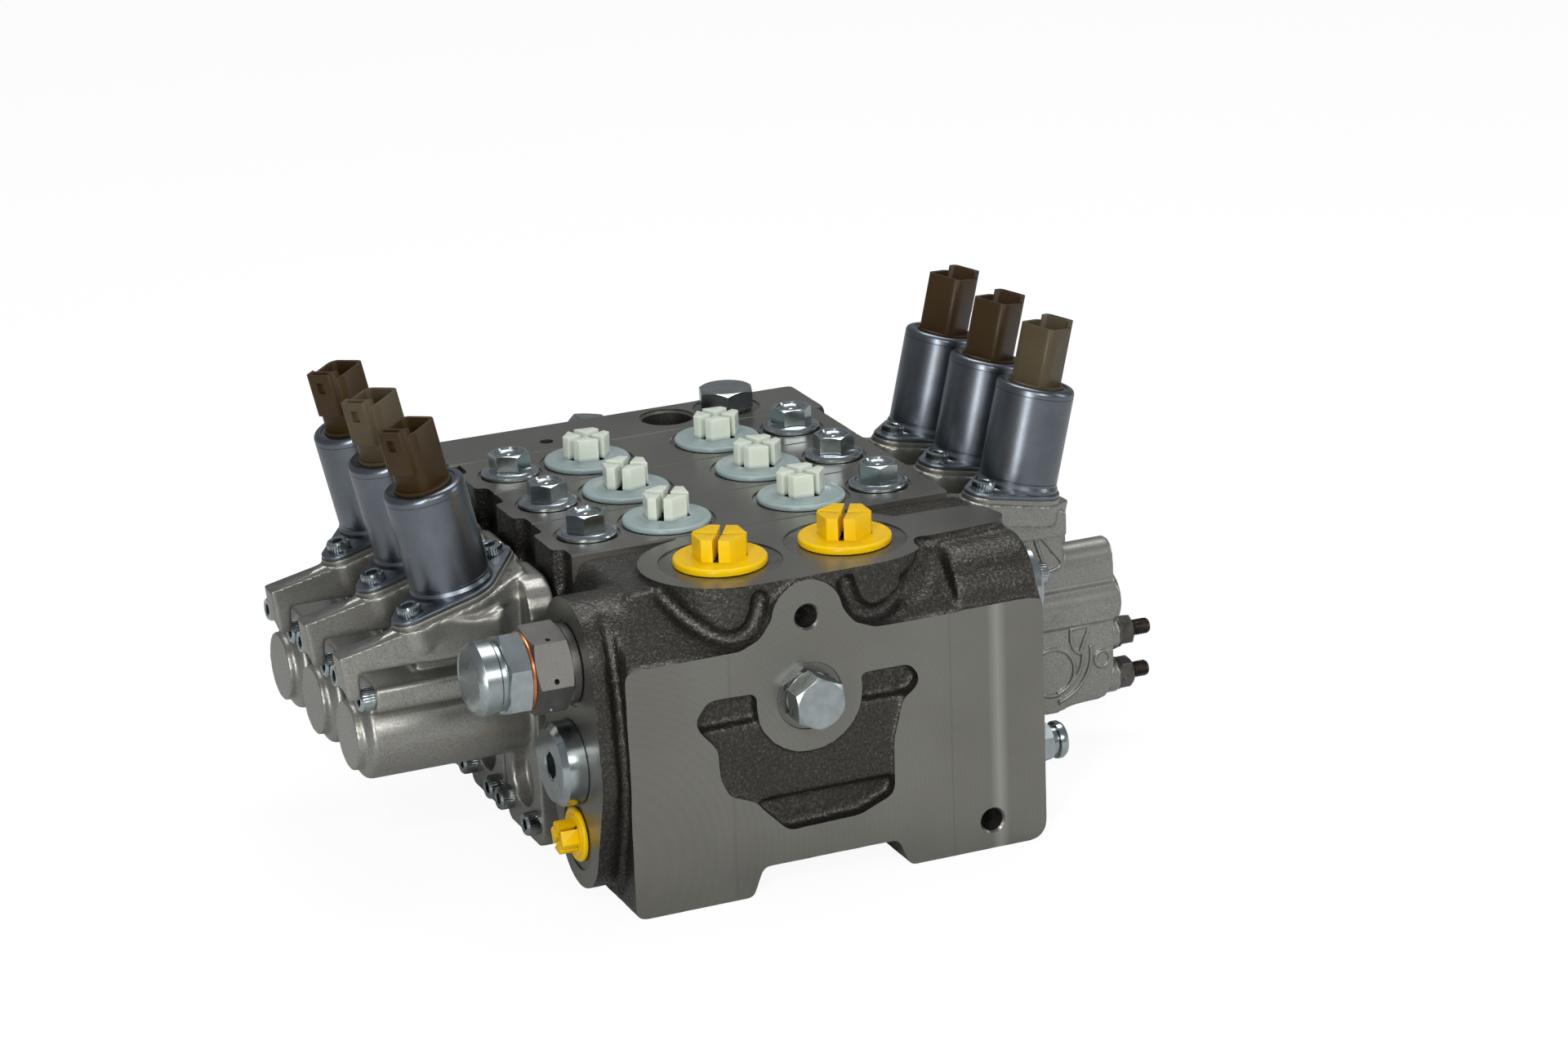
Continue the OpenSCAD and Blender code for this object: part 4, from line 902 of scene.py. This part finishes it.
def screws():
    places = [on_axis(side, k, x, y, OVAL_TOP) for side in (-1, 1) for k in range(3)
              for x, y in (FRONT_SCREW, REAR_SCREW[side])]
    body = repeat("solenoid_screw_set", socket_head(4.1, 3.6, 14.2), places, ZINC, 30, 3, 25)
    stand_for(body, "solenoid_screws")
    for side, shank, seed in ((-1, 20, 5), (1, 19, 7)):
        places = [spot(x, m + s * CAP_SCREW_HALF, z, ry=side * 90)
                  for x, z in CAP_SCREWS[side] for m in MIDS for s in (-1, 1)]
        screw = socket_head(4.2, 5.0, shank)
        body = repeat(f"cap_screw_set_{LETTER[side]}", screw, places, ZINC, 30, seed, 25)
        stand_for(body, f"cap_screws_{LETTER[side]}")


def flange_plug_set():
    low = turned("plug", [(0, -11), (7.7, -11), (7.7, 0), (10.2, 0), (10.5, 0.3), (10.5, 1.1), (10.25, 1.5),
                          (9.7, 1.65), (9.3, 2.1), (8.9, 2.35), (8.2, 2.4), (7.7, 2.15), (0, 2.1)],
                 ZINC, 96, 32)
    head = hexed("head", 13, 1.9, 8.7, ZINC, 0, 0.7)
    shape(head, turned("dish", [(0, 6.6), (0.5, 6.65), (0.9, 7.1), (1.4, 7.35), (4.1, 7.5), (4.7, 7.9),
                                (5.2, 8.75), (5.2, 10), (0, 10)], ZINC, 64))
    made = gather("plug_master", [low, head])
    places = [spot(x, m, TOP - SEATED, turn=t)
              for x, turns in zip(FLANGE_PORTS, ((4, 20, 33), (12, 26, 48))) for m, t in zip(MIDS, turns)]
    body = repeat("flange_plug_set", made, places, ZINC, 0, 11, 24)
    stand_for(body, "flange_plugs")


def slotted_plug(name, flange_r, flange_h, flats, head, slot_w, finish, dome, shank_r, dish=0.5):
    """A pushed-in transport plug: domed flange and a hexagonal grip cut into four fingers by a cross."""
    base = turned(name, [
        (0, -9.5), (shank_r, -9.5), (shank_r, 0.05), (flange_r - 0.4, 0.05), (flange_r - 0.1, 0.2),
        (flange_r, 0.5), (flange_r, flange_h - 0.7), (flange_r - 0.25, flange_h - 0.25),
        (flange_r - 0.8, flange_h), (flange_r - 1.6, flange_h), (flange_r - 2.1, flange_h - 0.12),
        (flats / 2 + 2.2, flange_h + dome * 0.5), (flats / 2 + 0.9, flange_h + dome), (0, flange_h + dome)],
        finish, 96, 50)
    outline = rounded(ring_points(6, flats / sqrt(3)), 0.5, 3)
    grip = prism("grip", outline, flange_h * 0.5, head, finish)
    shape(grip, turned("roof", [(0, head - dish), (flats * 0.7, head + 0.05), (flats * 0.7, head + 3),
                                (0, head + 3)], finish, 64))
    for a in (30, 120):
        gap = block("gap", (-20, -slot_w / 2, flange_h + dome), (20, slot_w / 2, head + 2), finish)
        shape(grip, move(gap, swing(a)))
    return gather(name, [base, bevelled(grip, 0.35, 3, 40)])


def plugs():
    for letter, x in MAIN_PORTS.items():
        made = slotted_plug(f"plug_{letter}_dressed", 16, 2.5, 17, 10.4, 2.0, YELLOW, 0.2, 12.05)
        move(made, spot(x, MAIN_LINE, TOP - SEATED, turn=28))
        stand_for(shade(made, 38), f"plug_{letter}")
    for (letter, x), turns in zip(WORK_PORTS.items(), ((22, 20, -8), (-8, -13, -4))):
        made = slotted_plug("milk", 15.5, 1.9, 15, 10.4, 2.7, MILK, 0.6, 9.3, 0.2)
        places = [spot(x, m, TOP - SEATED, turn=t) for m, t in zip(MIDS, turns)]
        body = repeat(f"work_plugs_{letter}_dressed", made, places, MILK, 0, 2, 38)
        stand_for(body, f"work_plugs_{letter}")
    made = slotted_plug("plug_ls_dressed", 9.4, 1.8, 10, 8, 1.5, YELLOW, 0.2, 5.8)
    move(made, spot(SIDE_A + SEATED, SIDE_LINE, LS_Z, ry=-90, turn=20))
    stand_for(shade(made, 38), "plug_ls")


def relief_valve():
    place = spot(SIDE_A, SIDE_LINE, RELIEF_Z, ry=-90)
    seat = turned("seat", [(0, -19), (11.0, -19), (11.0, 0), (13.3, 0), (13.55, 0.3), (13.55, 2.7),
                           (13.2, 3.1), (0, 3.1)], GREY, 96)
    nut = hexed("nut", 26.4, 3.0, 15.8, GREY, 0.8, 0.9, 21)
    for a in range(21, 360, 60):
        # a hole through each flat for the locking wire
        turn = swing(a + 8) @ shift(13.0, 0, 9.4) @ swing(90, "Y")
        shape(nut, move(rod("wire", 0.9, -3, 3, DARK, 20), turn))
    body = shade(gather("relief_body_dressed", [seat, nut]), 18)
    stand_for(move(body, place), "relief_body")
    ring = turned("relief_washer_dressed", [(7.1, 15.85), (13.2, 15.85), (13.5, 16.2), (13.5, 16.7),
                                            (13.2, 17.05), (7.1, 17.05)], COPPER, 96, loop=True)
    stand_for(move(ring, place), "relief_washer")
    nut = hexed("nut", 26, 17.1, 25.3, ZINC, 0.9, 0.9, 51)
    cup = turned("cup", [(0, 24.6), (11.8, 24.6), (11.8, 26.9), (12.6, 27.6), (12.6, 32.6), (12.4, 33.0),
                         (11.0, 35.0), (10.7, 35.2), (10.4, 34.9), (0, 34.8)], PALE_ZINC, 96, 22)
    stand_for(move(gather("relief_cap_dressed", [nut, cup]), place), "relief_cap")


def round_plugs():
    for node, profile, key_z, place in (
            ("compensator_plug", [(0, -14), (11.8, -14), (11.8, 0), (14.2, 0), (14.4, 0.3), (14.4, 6.5),
                                  (12.5, 8.5), (5.4, 8.45), (5.0, 8.0), (0, 8.0)],
             3, spot(SIDE_A, SIDE_LINE, COMPENSATOR_Z, ry=-90)),
            ("side_round_plug", [(0, -12), (10.8, -12), (10.8, 0), (13.2, 0), (13.4, 0.3), (13.4, 7.6),
                                 (12.4, 8.8), (0, 8.8)],
             4, spot(SIDE_B, SIDE_LINE, 84.0, ry=90))):
        made = turned(node + "_dressed", profile, ZINC, 96, 22)
        shape(made, prism("key", ring_points(6, 8.5 / sqrt(3), 12), key_z, 12, ZINC))
        stand_for(shade(move(made, place), 22), node)
    nut = hexed("nut", 12.6, 0, 15.2, ZINC, 0.0, 0.8)
    tube = turned("tube", [(0, -11), (5.7, -11), (5.7, 0.2), (5.9, 0.2), (5.9, 15.6), (5.4, 15.9),
                           (5.4, 17.2), (6.6, 17.5), (6.7, 17.9), (6.7, 19.4), (5.9, 20.6), (4.6, 20.9),
                           (0, 20.9)], ZINC, 64)
    body = gather("side_fitting_dressed", [nut, tube])
    stand_for(move(body, spot(SIDE_B, SIDE_LINE, 23, ry=90)), "side_fitting")


def hex_plug(name, flats, h, finish, place, skirt=9.4):
    low = turned("low", [(0, -9.8), (5.7, -9.8), (5.7, 0), (skirt - 0.2, 0), (skirt, 0.25), (skirt, 1.0),
                         (skirt - 0.3, 1.3), (0, 1.3)], finish, 72)
    return move(gather(name, [low, hexed("head", flats, 1.2, h, finish, 0.4, 1.1)]), place)


def hex_port_plugs():
    front = hex_plug("front", 16.8, 10.4, PALE_ZINC, spot(0, SEATED, FRONT_PORT_Z, rx=90, turn=34), 8.6)
    top = hex_plug("top", 19, 8, ZINC, spot(*END_PLUG, TOP - SEATED, turn=12))
    rear = hex_plug("rear", 19, 10.0, ZINC, spot(2.7, STACK_END - SEATED, 99.5, rx=-90, turn=10))
    stand_for(gather("hex_port_plugs_dressed", [front, top, rear]), "hex_port_plugs")


def threaded_rod(name, r, length, pitch, finish):
    """A rod with a ridge that winds along it and fades out at both ends."""
    seg = 40
    depth = 0.54 * pitch
    rows = int(length / (pitch / 8))
    made = bmesh.new()
    rings = []
    for j in range(rows + 1):
        z = length * j / rows
        ends = min(1.0, z, (length - z) / 0.8)
        ring = []
        for i in range(seg):
            wave = abs(2 * ((z / pitch - i / seg) % 1.0) - 1)
            at = r - depth * (1 - wave)
            if ends < 1:
                at = min(at, r - depth + depth * max(0, ends))
            turn = 2 * pi * i / seg
            ring.append(made.verts.new((at * MM * cos(turn), at * MM * sin(turn), z * MM)))
        rings.append(ring)
    for a, b in zip(rings, rings[1:]):
        for i in range(seg):
            j = (i + 1) % seg
            made.faces.new((a[i], a[j], b[j], b[i]))
    made.faces.new(list(reversed(rings[0])))
    made.faces.new(rings[-1])
    bmesh.ops.recalc_face_normals(made, faces=made.faces)
    return link(name, closed_up(made, bpy.data.meshes.new(name)), finish)


def limit_screws():
    for k, middle in enumerate(MIDS):
        for word, (z, end) in LIMIT_SCREWS.items():
            node = f"limit_screw_{k + 1}_{word}"
            length = end - LIMIT_START
            made = threaded_rod(node + "_dressed", 2.98, length, 1.0, BLACK)
            shape(made, prism("key", ring_points(6, 3 / sqrt(3)), length - 3, length + 1, BLACK))
            shade(move(made, spot(LIMIT_START, middle, z, ry=90)), 30)
            stand_for(made, node, node + "_body")
    nut = hexed("nut", 10, 1.2, 6.2, NUT_GREY, 0.5, 0.5)
    washer = turned("washer", [(0, 0), (5.9, 0), (6, 0.1), (6, 1.1), (5.9, 1.2), (0, 1.2)], NUT_GREY, 48)
    made = gather("nut_master", [nut, washer])
    shape(made, rod("hole", 3.03, -1, 8, NUT_GREY, 40))
    places = [spot(LIMIT_NUT, m, z, ry=90) for m in MIDS for z, end in LIMIT_SCREWS.values()]
    body = repeat("limit_nut_set", made, places, NUT_GREY, 28, 4, 22)
    stand_for(body, "limit_nuts")


def receptacle(name, finish):
    """Connector receptacle in the frame of its can."""
    def box(word, low, high, radii, n, z0, z1):
        (x0, y0), (x1, y1) = low, high
        return prism(word, rounded([(x0, y0), (x1, y0), (x1, y1), (x0, y1)], radii, n), z0, z1, finish)

    foot = turned("foot", [(0, 0), (9.7, 0), (9.7, 1.9), (9.2, 2.4), (0, 2.4)], finish, 72)
    shroud = box("shroud", (-8.0, -7.3), (7.6, 7.3), [3.2, 3.8, 3.8, 3.2], 8, 1.0, 23.0)
    shape(shroud, box("latch", (5, -5.4), (9.9, 5.4), [0, 1.6, 1.6, 0], 5, 9.6, 25.2), "UNION")
    shape(shroud, box("inner", (-6.6, -5.9), (6.1, 5.9), [2.2, 2.6, 2.6, 2.2], 6, 7, 32.0))
    shape(shroud, block("window", (8.1, -1.5, 18.2), (12, 1.5, 22.4), finish))
    shape(shroud, block("rail", (7.0, -3.6, 23.2), (9.0, 3.6, 26), finish))
    body = gather(name, [foot, bevelled(shroud, 0.4, 2, 50)])
    return move(body, shift(0, 0, CAN_TOP - 2))


def connectors():
    places = []
    for side, colours in ((-1, (BROWN, OLIVE, BROWN)), (1, (OLIVE, BROWN, BROWN))):
        node = f"connectors_{LETTER[side]}"
        bodies = []
        for k in range(3):
            base = on_axis(side, k, turn=CONNECTOR_TURN[side])
            bodies.append(move(receptacle(f"receptacle_{k}", colours[k]), base))
            places += [base @ shift(0, s * PIN_HALF, CAN_TOP + 5) for s in (-1, 1)]
        stand_for(shade(gather(node + "_dressed", bodies), 35), node)
    pin = turned("pin", [(0, 0), (0.8, 0), (0.8, 8.4), (0.35, 9), (0, 9)], ZINC, 20)
    stand_for(repeat("contact_pin_set", pin, places, ZINC), "connector_pins")


# ---- springs
def springs():
    """Each spring rides on its spool."""
    sets = [(f"centring_spring_{k}", f"spool_{k}_body", f"spool_{k}_slide", 7.0) for k in (1, 2, 3)]
    sets.append(("compensator_spring", "compensator_body", "compensator_slide", 8.0))
    for node, carrier, joint, travel in sets:
        body = shade(cad_twin(node, node + "_coil", GREY), 40)
        stand_for(body, node, carrier)
        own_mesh(body)


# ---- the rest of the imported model
def finish_nodes():
    """Nodes whose shape already is the real one keep it and get their finish."""
    plan = {"spool_": GROUND, "compensator_spool": GROUND, "stroke_lever": GROUND, "lever_shafts": GROUND,
            "spring_seats": GROUND, "tie_rods": ZINC, "tie_rod_nuts": ZINC, "section_seals": RUBBER}
    for name, node in NODES.items():
        for start, finish in plan.items():
            if name.startswith(start):
                for i in range(len(node.data.materials)):
                    node.data.materials[i] = finish


# ---- studio
def studio():
    lens = bpy.data.cameras.new("studio_camera")
    lens.lens = 101.78
    lens.sensor_width = 36.0
    lens.clip_end = 20.0
    eye = link("studio_camera", lens)
    # the photograph's viewing angle, solved from the edges of the machined block
    right = Vector((0.91640546, -0.39863422, -0.03594143))
    up = Vector((0.15873236, 0.27952777, 0.94692569))
    ahead = Vector((0.36743036, 0.87347294, -0.31943693))
    turn = Matrix((right, up, -ahead)).transposed().to_4x4()
    eye.matrix_world = Matrix.Translation((-0.55351, -1.37120, 0.59490)) @ turn
    bpy.context.scene.camera = eye

    # the camera sees the floor and the air nearly white; the object is lit by what they are
    p = Paint("pale_floor")
    tone = p.ramp(p.noise(2.0, 2, 0.5), [(0.0, (0.62, 0.62, 0.62)), (1.0, (0.66, 0.66, 0.66))])
    p.set(colour=tone, rough=0.8, spec=0.2)
    glow = p.node("ShaderNodeEmission", {"Strength": 1.08}).outputs[0]
    rays = p.node("ShaderNodeLightPath").outputs["Is Camera Ray"]
    share = p.figure("MULTIPLY", rays, 0.86)
    white = p.node("ShaderNodeMixShader", {0: share, 1: p.shader.outputs[0], 2: glow})
    p.wire(white.outputs[0], p.tree.nodes["Material Output"].inputs["Surface"])
    block("pale_floor", (-4000, -4000, -2.0), (4000, 4000, 0.0), p.mat)

    world = bpy.data.worlds.new("studio_air")
    bpy.context.scene.world = world
    world.use_nodes = True
    tree = world.node_tree
    back = tree.nodes["Background"]
    back.inputs["Color"].default_value = (0.93, 0.95, 1.0, 1.0)
    back.inputs["Strength"].default_value = 0.26
    bright = tree.nodes.new("ShaderNodeBackground")
    bright.inputs["Strength"].default_value = 1.0
    pick = tree.nodes.new("ShaderNodeMixShader")
    rays = tree.nodes.new("ShaderNodeLightPath").outputs["Is Camera Ray"]
    for source, target in ((rays, pick.inputs[0]), (back.outputs[0], pick.inputs[1]),
                           (bright.outputs[0], pick.inputs[2]),
                           (pick.outputs[0], tree.nodes["World Output"].inputs["Surface"])):
        tree.links.new(source, target)

    # each lamp: place and aimed height in metres, size, watts, tint
    for name, place, height, size, power, tint in (
            ("top_panel", (0.25, 0.35, 1.35), 0.08, (0.9, 0.6), 9.0, (1.0, 1.0, 1.0)),
            ("left_panel", (-1.00, -1.20, 0.36), 0.06, (0.30, 0.50), 8.0, (1.0, 1.0, 1.0)),
            ("front_panel", (0.10, -1.6, 0.85), 0.06, (0.8, 0.4), 10.0, (0.985, 1.0, 0.98)),
            ("key_flash", (-0.95, -1.35, 1.25), 0.06, (0.10, 0.10), 9.0, (0.98, 1.0, 0.98)),
            ("right_panel", (1.35, -0.55, 0.55), 0.08, (0.25, 0.9), 3.0, (0.96, 0.98, 1.0))):
        light = bpy.data.lights.new(name, "AREA")
        light.shape = "RECTANGLE"
        light.size, light.size_y = size
        light.energy = power
        light.color = tint
        way = (Vector((0, 0, height)) - Vector(place)).to_track_quat("-Z", "Y")
        link(name, light).matrix_world = Matrix.Translation(place) @ way.to_matrix().to_4x4()


inlet_casting()
section_castings()
end_casting()
for side in (-1, 1):
    pilot_caps(side)
    for number in range(3):
        solenoid(side, number)
screws()
flange_plug_set()
plugs()
relief_valve()
round_plugs()
hex_port_plugs()
limit_screws()
connectors()
springs()
finish_nodes()
studio()

view = bpy.context.scene.view_settings
view.view_transform = "Standard"
